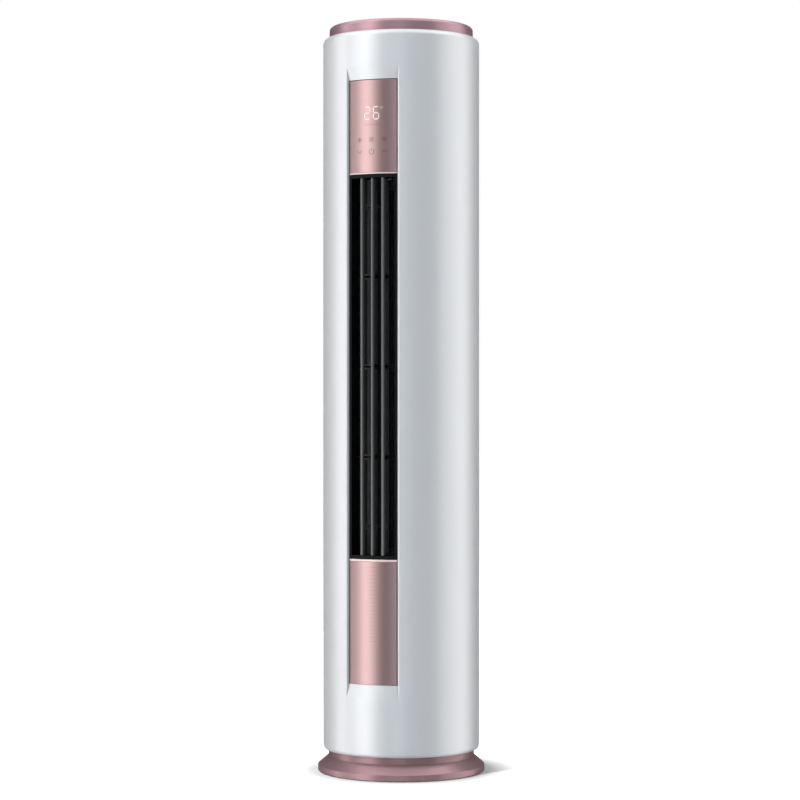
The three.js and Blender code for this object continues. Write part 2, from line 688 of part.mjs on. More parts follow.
// ---------------------------------------------------------------- louvres
const NOSE_LENGTH = 1.4; // of a louvre's round nose, over half the thickness
const FULL_UNTIL = 0.4; // share of the chord where the taper begins
const TAIL_EASE = 8;

// The section of a louvre about its pivot: a round nose, then a body that tapers to a thin tail.
function louvreSection() {
  const nose = -LOUVRE_NOSE_TO_PIVOT;
  const tail = nose + LOUVRE_CHORD;
  const half = LOUVRE_THICKNESS / 2;
  const shape = new THREE.Shape();
  shape.moveTo(0, nose);
  const noseEnd = nose + half * NOSE_LENGTH;
  const taper = nose + LOUVRE_CHORD * FULL_UNTIL;
  const ease = tail - TAIL_EASE;
  shape.quadraticCurveTo(half, nose, half, noseEnd);
  shape.bezierCurveTo(half, taper, LOUVRE_TAIL / 2, ease, LOUVRE_TAIL / 2, tail);
  shape.lineTo(-LOUVRE_TAIL / 2, tail);
  shape.bezierCurveTo(-LOUVRE_TAIL / 2, ease, -half, taper, -half, noseEnd);
  shape.quadraticCurveTo(-half, nose, 0, nose);
  return shape;
}

const RIB_NOTCH_GAP = 0.8; // in front of a clip
const LINK_NOTCH_REACH = 6.5; // in front of a link pin
const ribNotchFront = -(clipOuter + RIB_NOTCH_GAP);
const linkNotchFront = CRANK - LINK_NOTCH_REACH;

function louvre() {
  const body = rise(louvreSection(), zLouvre, zLouvreTop);
  const ribNotches = ribHeights.map((z) =>
    block(-FAR, ribNotchFront, z - NOTCH_HEIGHT / 2, FAR, FAR, z + NOTCH_HEIGHT / 2),
  );
  const linkNotches = linkHeights.map((z) =>
    block(-FAR, linkNotchFront, z - NOTCH_HEIGHT / 2, FAR, FAR, z + NOTCH_HEIGHT / 2),
  );
  const grip = 1; // how far a journal is rooted in the louvre
  const journals = ribHeights.map((z) =>
    rod(0, 0, PIVOT_RADIUS, z - NOTCH_HEIGHT / 2 - grip, z + NOTCH_HEIGHT / 2 + grip, PIN_SIDES),
  );
  const linkPins = linkHeights.map((z) =>
    rod(0, CRANK, LINK_PIN_RADIUS, z - NOTCH_HEIGHT / 2 - grip, z + NOTCH_HEIGHT / 2 + grip, PIN_SIDES),
  );
  const endPins = [
    rod(0, 0, PIVOT_RADIUS, zLouvre - LOUVRE_END_GAP - PIVOT_LENGTH, zLouvre + grip, PIN_SIDES),
    rod(0, 0, PIVOT_RADIUS, zLouvreTop - grip, zLouvreTop + LOUVRE_END_GAP + PIVOT_LENGTH, PIN_SIDES),
  ];
  return join(cut(body, ...ribNotches, ...linkNotches), ...journals, ...linkPins, ...endPins);
}

// The bar that clips over every louvre's link pin and keeps the louvres parallel.
function linkBar(z) {
  const z0 = z - LINK_BAR_THICKNESS / 2;
  const z1 = z + LINK_BAR_THICKNESS / 2;
  const boss = boreRadius(LINK_PIN_RADIUS) + LINK_BOSS_WALL;
  const first = louvreXs[0];
  const last = louvreXs.at(-1);
  const y = pivotY + CRANK;
  const bar = block(first, y - LINK_BAR_WIDTH / 2, z0, last, y + LINK_BAR_WIDTH / 2, z1);
  const bosses = louvreXs.map((x) => rod(x, y, boss, z0, z1, PIN_SIDES));
  const holes = louvreXs.map((x) =>
    rod(x, y, boreRadius(LINK_PIN_RADIUS), z0 - 1, z1 + 1, PIN_SIDES),
  );
  const mouth = LINK_PIN_RADIUS * CLIP_MOUTH;
  const mouths = louvreXs.map((x) =>
    block(x - mouth / 2, y, z0 - 1, x + mouth / 2, y + 2 * boss, z1 + 1),
  );
  return cut(join(bar, ...bosses), ...holes, ...mouths);
}

// ---------------------------------------------------------------- swing motor
const zSwingShaft = zDisplay + FIT;
const SWING_MOTOR_GAP = 2; // between the coupler and the motor
const SPINDLE_REACH = 3; // of the spindle into the motor
const SPINDLE_END_GAP = 2;
const COUPLER_SIDES = 10;
const zSwingMotor = zSwingShaft + SWING_COUPLER_HEIGHT + SWING_MOTOR_GAP;

// Turns with the middle louvre, whose top pin sits in its socket.
function swingShaft() {
  const pinTop = zLouvreTop + LOUVRE_END_GAP + PIVOT_LENGTH;
  const couplerTop = zSwingShaft + SWING_COUPLER_HEIGHT;
  const coupler = rod(0, 0, SWING_SHAFT_RADIUS, zSwingShaft, couplerTop, COUPLER_SIDES);
  const neck = rod(0, 0, PIVOT_RADIUS - FIT, pinTop + FIT, zSwingShaft + 1, PIN_SIDES);
  const spindle = rod(
    0, 0, SWING_SPINDLE_RADIUS, couplerTop - 1, zSwingMotor + SPINDLE_REACH, PIN_SIDES,
  );
  return join(coupler, neck, spindle);
}

function swingMotor() {
  const y = pivotY + SWING_SHAFT_OFFSET;
  const z0 = zSwingMotor;
  const z1 = z0 + SWING_MOTOR_HEIGHT;
  const halfEar = SWING_EAR_WIDTH / 2;
  const halfPlug = SWING_PLUG_WIDTH / 2;
  const can = rod(0, y, SWING_MOTOR_RADIUS, z0, z1);
  const ears = block(
    -SWING_EAR_REACH, y - halfEar, z0,
    SWING_EAR_REACH, y + halfEar, z0 + SWING_EAR_THICKNESS,
  );
  const legs = [-SWING_LEG_AT, SWING_LEG_AT].map((x) =>
    rod(x, y, SWING_LEG_RADIUS, zDisplay, z0 + SWING_EAR_THICKNESS / 2, PIN_SIDES),
  );
  const plug = block(
    -halfPlug, y + SWING_MOTOR_RADIUS / 2, z0 + 3,
    halfPlug, y + SWING_MOTOR_RADIUS + SWING_PLUG_REACH, z1 - 3,
  );
  const bore = rod(
    0, pivotY, boreRadius(SWING_SPINDLE_RADIUS), z0 - 1, z0 + SPINDLE_REACH + SPINDLE_END_GAP, PIN_SIDES,
  );
  return cut(join(can, ears, ...legs, plug), bore);
}

// ---------------------------------------------------------------- base
function baseCover() {
  const innerRim = baseRadius - BASE_WALL;
  const neckInner = neckRadius - BASE_WALL;
  const rimTop = BASE_LIFT + BASE_RIM_HEIGHT;
  const flange = CASING_BOTTOM + BASE_FLANGE_RISE;
  return revolve([
    [baseRadius, BASE_LIFT],
    [baseRadius, rimTop],
    [neckRadius, NECK_START],
    [neckRadius, flange],
    [casingClear, flange],
    [casingClear, flange + BASE_WALL],
    [neckInner, flange + BASE_WALL],
    [neckInner, NECK_START],
    [innerRim, rimTop],
    [innerRim, BASE_LIFT],
  ], SMOOTH);
}

const panRadius = baseRadius - BASE_WALL - FIT;

function basePan() {
  const rimTop = PAN_BOTTOM + PAN_RIM_HEIGHT;
  return revolve([
    [0, PAN_BOTTOM],
    [panRadius, PAN_BOTTOM],
    [panRadius, rimTop],
    [panRadius - SHEET_STEEL, rimTop],
    [panRadius - SHEET_STEEL, PAN_BOTTOM + SHEET_STEEL],
    [0, PAN_BOTTOM + SHEET_STEEL],
  ], SMOOTH);
}

function foot() {
  return revolve(
    [
      [0, 0], [FOOT_RADIUS, 0],
      [FOOT_RADIUS - 1.5, PAN_BOTTOM - FIT], [0, PAN_BOTTOM - FIT],
    ],
    12,
  );
}

// ---------------------------------------------------------------- top
function topCap() {
  const centreR = capRadius - CAP_FILLET;
  const centreZ = zTop - CAP_FILLET;
  return revolve([
    [0, zTop],
    ...arcPoints(centreR, centreZ, CAP_FILLET, 90, 0, 2),
    [capRadius, zCapSeat + FIT],
    [capRadius - CAP_WALL, zCapSeat + FIT],
    ...arcPoints(centreR, centreZ, CAP_FILLET - CAP_WALL, 0, 90, 1),
    [0, zTop - CAP_WALL],
  ], SMOOTH);
}

// A stepped disc: its low edge meets the casing, and its raised middle carries the cap.
function topDeck() {
  const step = zTopDeck + DECK_THICKNESS;
  const seat = capRadius - 2;
  return revolve([
    [0, zCapSeat - DECK_THICKNESS],
    [seat - DECK_THICKNESS, zCapSeat - DECK_THICKNESS],
    [seat - DECK_THICKNESS, zTopDeck],
    [casingClear, zTopDeck],
    [casingClear, step],
    [seat, step],
    [seat, zCapSeat],
    [0, zCapSeat],
  ], COARSE);
}

// ---------------------------------------------------------------- frame inside
const zPost = PAN_BOTTOM + SHEET_STEEL + FIT;
const zPostTop = zTopDeck - FIT;

// A folded channel standing at one side, open towards the axis.
function postAt(side, grow = 0) {
  const outer = block(
    -POST_WIDTH / 2 - grow, -postRadius - POST_DEPTH / 2 - grow, zPost,
    POST_WIDTH / 2 + grow, -postRadius + POST_DEPTH / 2 + grow, zPostTop,
  );
  const inner = block(
    -POST_WIDTH / 2 + SHEET_STEEL, -postRadius - POST_DEPTH / 2 + SHEET_STEEL, 0,
    POST_WIDTH / 2 - SHEET_STEEL, 0, zPostTop + 1,
  );
  const post = grow ? outer : cut(outer, inner);
  return post.rotate([0, 0, side * POST_AZIMUTH]);
}

function deckDisc(z) {
  const top = z + DECK_THICKNESS;
  const disc = revolve([[0, z], [deckRadius, z], [deckRadius, top], [0, top]], COARSE);
  const tabs = [-1, 1].map((side) =>
    ringSector(
      deckRadius - DECK_THICKNESS, casingInner - FIT,
      side * 90 - DECK_TAB_SPAN, side * 90 + DECK_TAB_SPAN, z, top,
    ),
  );
  const recess = ringSector(
    recessBack - 2 * FIT, FAR / 2,
    -recessAngle - BACKING_MARGIN - 1, recessAngle + BACKING_MARGIN + 1, z - 1, top + 1,
  );
  return cut(join(disc, ...tabs), recess, postAt(-1, FIT), postAt(1, FIT));
}

// Carries the drain pan, the duct and the fan's lower bearing.
function lowerDeck() {
  const z0 = zLowerDeck - 1;
  const z1 = zLowerDeckTop + 1;
  const spout = rod(spoutAt.x, spoutAt.y, SPOUT_RADIUS + 2 * FIT, z0, z1, SHAFT_SIDES);
  const pipes = [
    [gasAt, GAS_PIPE_RADIUS],
    [liquidAt, LIQUID_PIPE_RADIUS],
  ].map(([at, radius]) => rod(at.x, at.y, radius + PIPE_CLEARANCE, z0, z1, SHAFT_SIDES));
  return cut(deckDisc(zLowerDeck), spout, ...pipes);
}

const SHAFT_HOLE_GAP = 4; // round the motor's shaft
const SWING_BAY_HALF_WIDTH = 24;
const SWING_BAY_GAP = 6; // behind the swing motor

// Carries the fan motor, the swing motor's cable way and the electrical box.
function upperDeck() {
  const shaftHole = rod(FAN_X, FAN_Y, FAN_SHAFT_RADIUS + SHAFT_HOLE_GAP, zUpperDeck - 1, zUpperDeckTop + 1);
  const bayBackY = pivotY + SWING_SHAFT_OFFSET + SWING_MOTOR_RADIUS + SWING_BAY_GAP;
  const swing = block(
    -SWING_BAY_HALF_WIDTH, -FAR, zUpperDeck - 1,
    SWING_BAY_HALF_WIDTH, bayBackY, zUpperDeckTop + 1,
  );
  return cut(deckDisc(zUpperDeck), shaftHole, swing);
}

// ---------------------------------------------------------------- fan
const zFan = zOutlet + FAN_END_GAP;
const zFanTop = zDisplay - FAN_END_GAP;

const BLADE_TIP_INSET = 0.5; // inside the discs' rims
const DISC_BEHIND_BLADES = 3; // from the blades in to a middle disc's hole
const FAN_DISC_SIDES = 20;

// One leaning impeller blade at the top of the wheel, seen in plan about the fan's axis.
function fanBladeOutline() {
  const outer = FAN_RADIUS - BLADE_TIP_INSET;
  const inner = outer - FAN_BLADE_DEPTH;
  const half = deg(FAN_BLADE_THICKNESS / 2 / FAN_RADIUS);
  return [
    polar(inner, -half),
    polar(outer, FAN_BLADE_LEAN - half),
    polar(outer, FAN_BLADE_LEAN + half),
    polar(inner, half),
  ];
}

// The cross-flow impeller about its own axis: a ring of leaning blades held by discs.
function fanRotor() {
  const blade = rise(fanBladeOutline().reverse(), zFan + 1, zFanTop - 1);
  const blades = Array.from({ length: FAN_BLADES }, (_, i) =>
    blade.rotate([0, 0, (360 / FAN_BLADES) * i]),
  );
  const innerRing = FAN_RADIUS - FAN_BLADE_DEPTH - DISC_BEHIND_BLADES;
  const discs = Array.from({ length: FAN_SEGMENTS + 1 }, (_, i) => {
    const z = zFan + ((zFanTop - zFan - FAN_DISC) * i) / FAN_SEGMENTS;
    const end = i === 0 || i === FAN_SEGMENTS;
    const inner = end ? FAN_SHAFT_RADIUS + FIT : innerRing;
    return revolve(
      [[inner, z], [FAN_RADIUS, z], [FAN_RADIUS, z + FAN_DISC], [inner, z + FAN_DISC]],
      FAN_DISC_SIDES,
    );
  });
  return join(...discs, ...blades);
}

const HUB_RADIUS = 16;
const HUB_LENGTH = 22;
const HUB_TAPER = 8;
const HUB_COLLAR = 4; // of the hub's narrow end round the shaft
const FLANGE_THICKNESS = 4;
const FLANGE_HEIGHT = 12; // with its taper
const AXLE_END_GAP = 2; // above the bearing's lower face

// The motor's shaft with the hub that is screwed to the impeller's top disc.
function motorShaft() {
  const hubZ = zFanTop - FAN_DISC - FIT;
  return revolve(
    [
      [0, hubZ - HUB_LENGTH],
      [FAN_SHAFT_RADIUS + HUB_COLLAR, hubZ - HUB_LENGTH],
      [HUB_RADIUS, hubZ - HUB_LENGTH + HUB_TAPER],
      [HUB_RADIUS, hubZ],
      [FAN_SHAFT_RADIUS, hubZ],
      [FAN_SHAFT_RADIUS, zMotor + MOTOR_HEIGHT / 2],
      [0, zMotor + MOTOR_HEIGHT / 2],
    ],
    SHAFT_SIDES,
  );
}

// The stub axle at the impeller's bottom disc, running in the lower bearing.
function fanAxle() {
  const flangeZ = zFan + FAN_DISC + FIT;
  return revolve(
    [
      [0, zBearing + AXLE_END_GAP],
      [FAN_SHAFT_RADIUS, zBearing + AXLE_END_GAP],
      [FAN_SHAFT_RADIUS, flangeZ],
      [HUB_RADIUS, flangeZ],
      [HUB_RADIUS, flangeZ + FLANGE_THICKNESS],
      [FAN_SHAFT_RADIUS, flangeZ + FLANGE_HEIGHT],
      [0, flangeZ + FLANGE_HEIGHT],
    ],
    SHAFT_SIDES,
  );
}

const BEARING_RADIUS = 13;
const BEARING_HEIGHT = 12;
const CUP_FLOOR = 2;
const CUP_WALL = 3;
const CUP_FLANGE = 10;
const CUP_FLANGE_THICKNESS = 2.5;
const zBearing = zLowerDeckTop + FIT + CUP_FLOOR + FIT;

function fanBearing() {
  const z1 = zBearing + BEARING_HEIGHT;
  const inner = FAN_SHAFT_RADIUS + RUNNING;
  return revolve(
    [
      [inner, zBearing], [BEARING_RADIUS, zBearing], [BEARING_RADIUS, z1], [inner, z1],
    ],
    SHAFT_SIDES,
  );
}

function bearingCup() {
  const z0 = zLowerDeckTop + FIT;
  const zFlange = z0 + CUP_FLANGE_THICKNESS;
  const zRim = z0 + BEARING_HEIGHT - 1;
  const inner = BEARING_RADIUS + FIT;
  const outer = inner + CUP_WALL;
  return revolve(
    [
      [0, z0], [outer + CUP_FLANGE, z0], [outer + CUP_FLANGE, zFlange], [outer, zFlange],
      [outer, zRim], [inner, zRim], [inner, z0 + CUP_FLOOR], [0, z0 + CUP_FLOOR],
    ],
    SHAFT_SIDES,
  );
}

const zMotor = zUpperDeckTop + FIT;
const MOTOR_FOOT_CHAMFER = 6;
const MOTOR_CROWN_CHAMFER = 8;
const MOTOR_BORE_END = 18; // under the motor's top
const MOTOR_SIDES = 20;

// A resin-moulded induction motor.
function fanMotor() {
  const z1 = zMotor + MOTOR_HEIGHT;
  const bore = FAN_SHAFT_RADIUS + RUNNING;
  return revolve(
    [
      [bore, zMotor],
      [MOTOR_RADIUS - MOTOR_FOOT_CHAMFER, zMotor],
      [MOTOR_RADIUS, zMotor + MOTOR_FOOT_CHAMFER],
      [MOTOR_RADIUS, z1 - MOTOR_CROWN_CHAMFER],
      [MOTOR_RADIUS - MOTOR_CROWN_CHAMFER, z1],
      [0, z1],
      [0, z1 - MOTOR_BORE_END],
      [bore, z1 - MOTOR_BORE_END],
    ],
    MOTOR_SIDES,
  );
}

// A steel strap over the motor, with a foot on the deck at each side.
function motorStrap() {
  const inner = MOTOR_RADIUS + FIT;
  const outer = inner + SHEET_STEEL;
  const half = STRAP_WIDTH / 2;
  const z1 = zMotor + MOTOR_HEIGHT + FIT;
  const bridge = block(-outer, -half, zMotor, outer, half, z1 + SHEET_STEEL);
  const foot = outer + STRAP_FOOT;
  const feet = block(-foot, -half, zMotor, foot, half, zMotor + SHEET_STEEL);
  const under = block(-inner, -STRAP_WIDTH, 0, inner, STRAP_WIDTH, z1);
  return cut(join(bridge, feet), under);
}

// ---------------------------------------------------------------- air duct
// The wall that wraps the fan from the back right and runs forward to the outlet.
function voluteWall() {
  const z0 = zLowerDeckTop + FIT;
  const z1 = zUpperDeck - FIT;
  const reach = DUCT_HALF_WIDTH - FAN_X; // fan axis to the duct's right wall
  const steps = 8;
  const inner = [];
  const outer = [];
  for (let i = 0; i <= steps; i++) {
    const share = i / steps;
    const angle = rad(VOLUTE_START * (1 - share));
    const radius = FAN_RADIUS + VOLUTE_GAP_START + (reach - FAN_RADIUS - VOLUTE_GAP_START) * share;
    inner.push(new THREE.Vector2(FAN_X + radius * Math.cos(angle), FAN_Y + radius * Math.sin(angle)));
    outer.push(
      new THREE.Vector2(
        FAN_X + (radius + VOLUTE_WALL) * Math.cos(angle),
        FAN_Y + (radius + VOLUTE_WALL) * Math.sin(angle),
      ),
    );
  }
  const endY = frameBackY + FIT;
  inner.push(new THREE.Vector2(DUCT_HALF_WIDTH, endY));
  outer.push(new THREE.Vector2(DUCT_HALF_WIDTH + VOLUTE_WALL, endY));
  const wall = rise([...inner, ...outer.reverse()], z0, z1);
  return join(wall, coilBaffle(1));
}

// Closes the way round the coil: from a duct wall out to the coil's end.
function coilBaffle(side) {
  const z0 = zLowerDeckTop + DRAIN_PAN_HEIGHT + 2;
  const z1 = zCoilTop;
  const rootX = DUCT_HALF_WIDTH + VOLUTE_WALL / 2;
  const rootY = frameBackY + BAFFLE_SETBACK;
  const tip = polar(coilInner - COIL_BAFFLE_GAP, 180 - COIL_SWEEP - 1);
  const root = new THREE.Vector2(rootX, rootY);
  const along = tip.clone().sub(root).normalize();
  const across = new THREE.Vector2(-along.y, along.x).multiplyScalar(VOLUTE_WALL / 2);
  const corners = [
    root.clone().sub(across), tip.clone().sub(across),
    tip.clone().add(across), root.clone().add(across),
  ];
  if (side > 0) return rise(corners, z0, z1);
  return rise(corners.map((p) => new THREE.Vector2(-p.x, p.y)).reverse(), z0, z1);
}

const TONGUE_INSET = 0.5; // least, behind the duct's side
const TONGUE_CURVE = 8; // under its rounded tip
const TONGUE_STEP_FROM = 14; // where the thick part thins to the wall
const TONGUE_STEP_TO = 20;

// The left wall, whose thick rounded tongue lies close to the fan.
function tongueWall() {
  const z0 = zLowerDeckTop + FIT;
  const z1 = zUpperDeck - FIT;
  const angle = rad(TONGUE_AZIMUTH);
  const radius = FAN_RADIUS + TONGUE_GAP;
  const tip = new THREE.Vector2(
    Math.min(FAN_X + radius * Math.cos(angle), -DUCT_HALF_WIDTH - TONGUE_INSET),
    FAN_Y + radius * Math.sin(angle),
  );
  const back = -DUCT_HALF_WIDTH - 2 * VOLUTE_WALL;
  const endY = frameBackY + FIT;
  const shape = new THREE.Shape();
  shape.moveTo(-DUCT_HALF_WIDTH, endY);
  shape.lineTo(-DUCT_HALF_WIDTH, tip.y - TONGUE_CURVE);
  shape.quadraticCurveTo(-DUCT_HALF_WIDTH, tip.y - 2, tip.x, tip.y);
  shape.quadraticCurveTo(tip.x - 3, tip.y + 3, back, tip.y - 1);
  shape.lineTo(back, endY + TONGUE_STEP_TO);
  shape.lineTo(-DUCT_HALF_WIDTH - VOLUTE_WALL, endY + TONGUE_STEP_FROM);
  shape.lineTo(-DUCT_HALF_WIDTH - VOLUTE_WALL, endY);
  return join(rise(shape, z0, z1), coilBaffle(-1));
}

// ---------------------------------------------------------------- evaporator
function coilFins() {
  const ring = revolve(
    [[coilInner, zCoil], [coilOuter, zCoil], [coilOuter, zCoilTop], [coilInner, zCoilTop]],
    COARSE,
  );
  const gap = deg((TUBE_SHEET + 2 * FIT) / coilInner);
  const half = COIL_SWEEP - gap;
  const left = wedge(180, 180 + half, 0, FAR * 4);
  const right = wedge(180 - half, 180, 0, FAR * 4);
  return ring.intersect(join(left, right));
}

const PLATE_MARGIN = 4; // of the end plate round the fins
const BEND_ROWS = [0.28, 0.72]; // the two columns of bends, as shares of the coil's depth
const BEND_SIDES = 5;

// The plate at one end of the coil, with its column of return bends, built at the front of the ring.
function coilEnd() {
  const plate = block(
    0, -coilOuter - PLATE_MARGIN, zCoil,
    TUBE_SHEET, -coilInner + PLATE_MARGIN, zCoilTop,
  );
  const pitch = (zCoilTop - zCoil) / BEND_COUNT;
  const bends = Array.from({ length: BEND_COUNT }, (_, i) => {
    const row = coilInner + COIL_DEPTH * BEND_ROWS[i % 2];
    const z = zCoil + pitch * (i + 0.5);
    const points = Array.from({ length: BEND_STEPS + 1 }, (_, k) => {
      const angle = rad(-90 + (180 * k) / BEND_STEPS);
      return [
        TUBE_SHEET / 2 + BEND_RADIUS * Math.cos(angle), -row, z + BEND_RADIUS * Math.sin(angle),
      ];
    });
    return pipe(points, BEND_TUBE_RADIUS, BEND_STEPS, BEND_SIDES);
  });
  return join(plate, ...bends);
}

// ---------------------------------------------------------------- drain pan
const panInner = coilInner - DRAIN_PAN_MARGIN;
const panOuter = coilOuter + DRAIN_PAN_MARGIN;
const SPOUT_OUTWARDS = 6; // from the middle of the pan
const SPOUT_SIDES = 10;
const PAN_OVERREACH = 10; // degrees past each end of the coil
const PAN_END_WALL = 1.2; // degrees
const spoutAt = polar((panInner + panOuter) / 2 + SPOUT_OUTWARDS, SPOUT_AZIMUTH);
const gasAt = polar(coilInner - PIPE_INSET, GAS_AZIMUTH);
const liquidAt = polar(coilInner - PIPE_INSET, LIQUID_AZIMUTH);

function drainPan() {
  const z0 = zLowerDeckTop + FIT;
  const z1 = z0 + DRAIN_PAN_HEIGHT;
  const wall = DRAIN_PAN_WALL;
  const tray = revolve([
    [panInner, z0], [panOuter, z0], [panOuter, z1], [panOuter - wall, z1],
    [panOuter - wall, z0 + wall], [panInner + wall, z0 + wall], [panInner + wall, z1], [panInner, z1],
  ], COARSE);
  const solidRing = revolve([[panInner, z0], [panOuter, z0], [panOuter, z1], [panInner, z1]], COARSE);
  const reach = COIL_SWEEP + PAN_OVERREACH;
  const half = (extra) =>
    join(wedge(180, 180 + reach - extra, 0, FAR * 4), wedge(180 - reach + extra, 180, 0, FAR * 4));
  const endWalls = solidRing.intersect(cut(half(0), half(PAN_END_WALL)));
  const zSpout = zLowerDeck - SPOUT_LENGTH;
  const spout = rod(spoutAt.x, spoutAt.y, SPOUT_RADIUS, zSpout, z0 + 1, SPOUT_SIDES);
  const bore = rod(spoutAt.x, spoutAt.y, SPOUT_RADIUS - wall, zSpout - 1, z0 + wall + 1, SPOUT_SIDES);
  return cut(join(tray.intersect(half(0)), endWalls, spout), bore);
}

const HOSE_OPENING = 5; // how far its bore is taken past its upper end
const HOSE_TURN = 0.75; // share of the sway that is left at the foot

// The hose that carries the water from the spout down towards the pipe hole.
function drainHose() {
  const top = zLowerDeck - SPOUT_LENGTH + HOSE_LAP;
  const sides = 8;
  const steps = 6;
  const bore = (SPOUT_RADIUS + FIT) / Math.cos(Math.PI / sides);
  const inner = pipe(hoseRoute(top + HOSE_OPENING), bore, steps, sides);
  const outer = pipe(hoseRoute(top), bore + HOSE_WALL, steps, sides);
  return cut(outer, inner);
}

function hoseRoute(top) {
  const { x, y } = spoutAt;
  const foot = PIPE_HOLE_HEIGHT + HOSE_END;
  return [
    [x, y, top],
    [x, y, top - HOSE_STRAIGHT],
    [x, y, top - 2 * HOSE_STRAIGHT],
    [x + HOSE_SWAY, y - HOSE_SWAY, 2 * foot - PIPE_HOLE_HEIGHT],
    [x + HOSE_TURN * HOSE_SWAY, y - HOSE_TURN * HOSE_SWAY, foot],
  ];
}

// ---------------------------------------------------------------- refrigerant pipes
const zPipeTop = zLowerDeckTop + DRAIN_PAN_HEIGHT + PIPE_ENTRY;

const pipeEndY = BRACKET_Y + SHEET_STEEL + FIT + NUT_LENGTH;
const gasEnd = { x: -PIPE_END_SPREAD, z: PIPE_HOLE_HEIGHT + PIPE_END_RISE };
const liquidEnd = { x: PIPE_END_SPREAD, z: PIPE_HOLE_HEIGHT + PIPE_END_RISE };

const PIPE_ELBOW = 6; // outside its drop, where it turns down
const PIPE_ELBOW_DROP = 14;
const PIPE_STRAIGHT = 60; // over and under the lower deck
const PIPE_TURN_RISE = 130; // over the end, where the turn back begins
const PIPE_TURN = { share: 0.6, y: 24, rise: 34 }; // middle of the turn back
const PIPE_RUN_IN = 24; // before the bracket
const PIPE_HELD = 8; // on each side of the bracket
const PIPE_IN_NUT = 4; // from its end to the nut's
const PIPE_STEPS = 18;
const PIPE_SIDES = 6;

// Leaves the coil, drops through the deck and turns back to the pipe hole.
function refrigerantPipe(at, radius, end) {
  const coilFlat = coilInner * Math.cos(Math.PI / COARSE);
  const entry = at.clone().setLength(coilFlat - 2 * FIT);
  const elbow = at.clone().setLength(at.length() + PIPE_ELBOW);
  return pipe(
    [
      [entry.x, entry.y, zPipeTop],
      [elbow.x, elbow.y, zPipeTop],
      [at.x, at.y, zPipeTop - PIPE_ELBOW_DROP],
      [at.x, at.y, zLowerDeck + PIPE_STRAIGHT],
      [at.x, at.y, zLowerDeck],
      [at.x, at.y, zLowerDeck - PIPE_STRAIGHT],
      [at.x, at.y, end.z + PIPE_TURN_RISE],
      [end.x * PIPE_TURN.share + at.x * (1 - PIPE_TURN.share), PIPE_TURN.y, end.z + PIPE_TURN.rise],
      [end.x, BRACKET_Y - PIPE_RUN_IN, end.z],
      [end.x, BRACKET_Y - PIPE_HELD, end.z],
      [end.x, BRACKET_Y + PIPE_HELD, end.z],
      [end.x, pipeEndY - PIPE_IN_NUT, end.z],
    ],
    radius,
    PIPE_STEPS,
    PIPE_SIDES,
  );
}

// The radius of a hole whose flats still clear a pipe that bends a little.
const pipeBore = (radius, sides) => (radius + 2 * FIT) / Math.cos(Math.PI / sides);

const NUT_ACROSS = 1.9; // over the pipe's radius
const HEX_SHARE = 0.6; // of the nut's length
const NUT_NECK_WALL = 1.5; // at its thin end
const NUT_ROOT_WALL = 2.5;
const BRACKET_HOLE_DEPTH = 20;

// A hexagonal nut on the end of a pipe, placed by its mesh.
function flareNut(radius) {
  const across = radius * NUT_ACROSS;
  const hole = pipeBore(radius, SHAFT_SIDES);
  const hex = new THREE.CylinderGeometry(across, across, NUT_LENGTH * HEX_SHARE, 6);
  const neck = new THREE.CylinderGeometry(
    hole + NUT_NECK_WALL, hole + NUT_ROOT_WALL, NUT_LENGTH, SHAFT_SIDES,
  );
  const bore = new THREE.CylinderGeometry(hole, hole, NUT_LENGTH * 2, SHAFT_SIDES);
  const middle = (NUT_LENGTH * (1 - HEX_SHARE)) / 2;
  return cut(
    join(solid(hex.translate(0, middle, 0)), solid(neck)),
    solid(bore),
  );
}

// The bracket on the base pan that both pipe ends are clamped to.
function pipeBracket() {
  const y = BRACKET_Y;
  const half = BRACKET_HALF_WIDTH;
  const top = PIPE_HOLE_HEIGHT + BRACKET_TREAD;
  const z0 = PAN_BOTTOM + SHEET_STEEL + FIT;
  const upright = block(-half, y, z0, half, y + SHEET_STEEL, top);
  const tread = block(-half, y, z0, half, y + BRACKET_TREAD, z0 + SHEET_STEEL);
  const holes = [
    [gasEnd, GAS_PIPE_RADIUS],
    [liquidEnd, LIQUID_PIPE_RADIUS],
  ].map(([end, radius]) => {
    const hole = pipeBore(radius, SHAFT_SIDES);
    const drill = new THREE.CylinderGeometry(hole, hole, BRACKET_HOLE_DEPTH, SHAFT_SIDES);
    return solid(drill.translate(end.x, y, end.z));
  });
  return cut(join(upright, tread), ...holes);
}

// The ring that lines the pipe hole in the back casing.
function pipeCollar() {
  const y = BODY_RADIUS - COLLAR_DEPTH / 2 + COLLAR_PROUD;
  const radius = PIPE_HOLE_RADIUS - FIT;
  const outer = new THREE.CylinderGeometry(radius, radius, COLLAR_DEPTH, HOLE_SIDES);
  const inner = radius - COLLAR_WALL;
  const bore = new THREE.CylinderGeometry(inner, inner, 3 * COLLAR_DEPTH, HOLE_SIDES);
  return cut(solid(outer), solid(bore)).translate([0, y, PIPE_HOLE_HEIGHT]);
}

// ---------------------------------------------------------------- back grilles and filters
const GRILLE_TOP_GAP = 0.4; // more than the fit, for the tilt

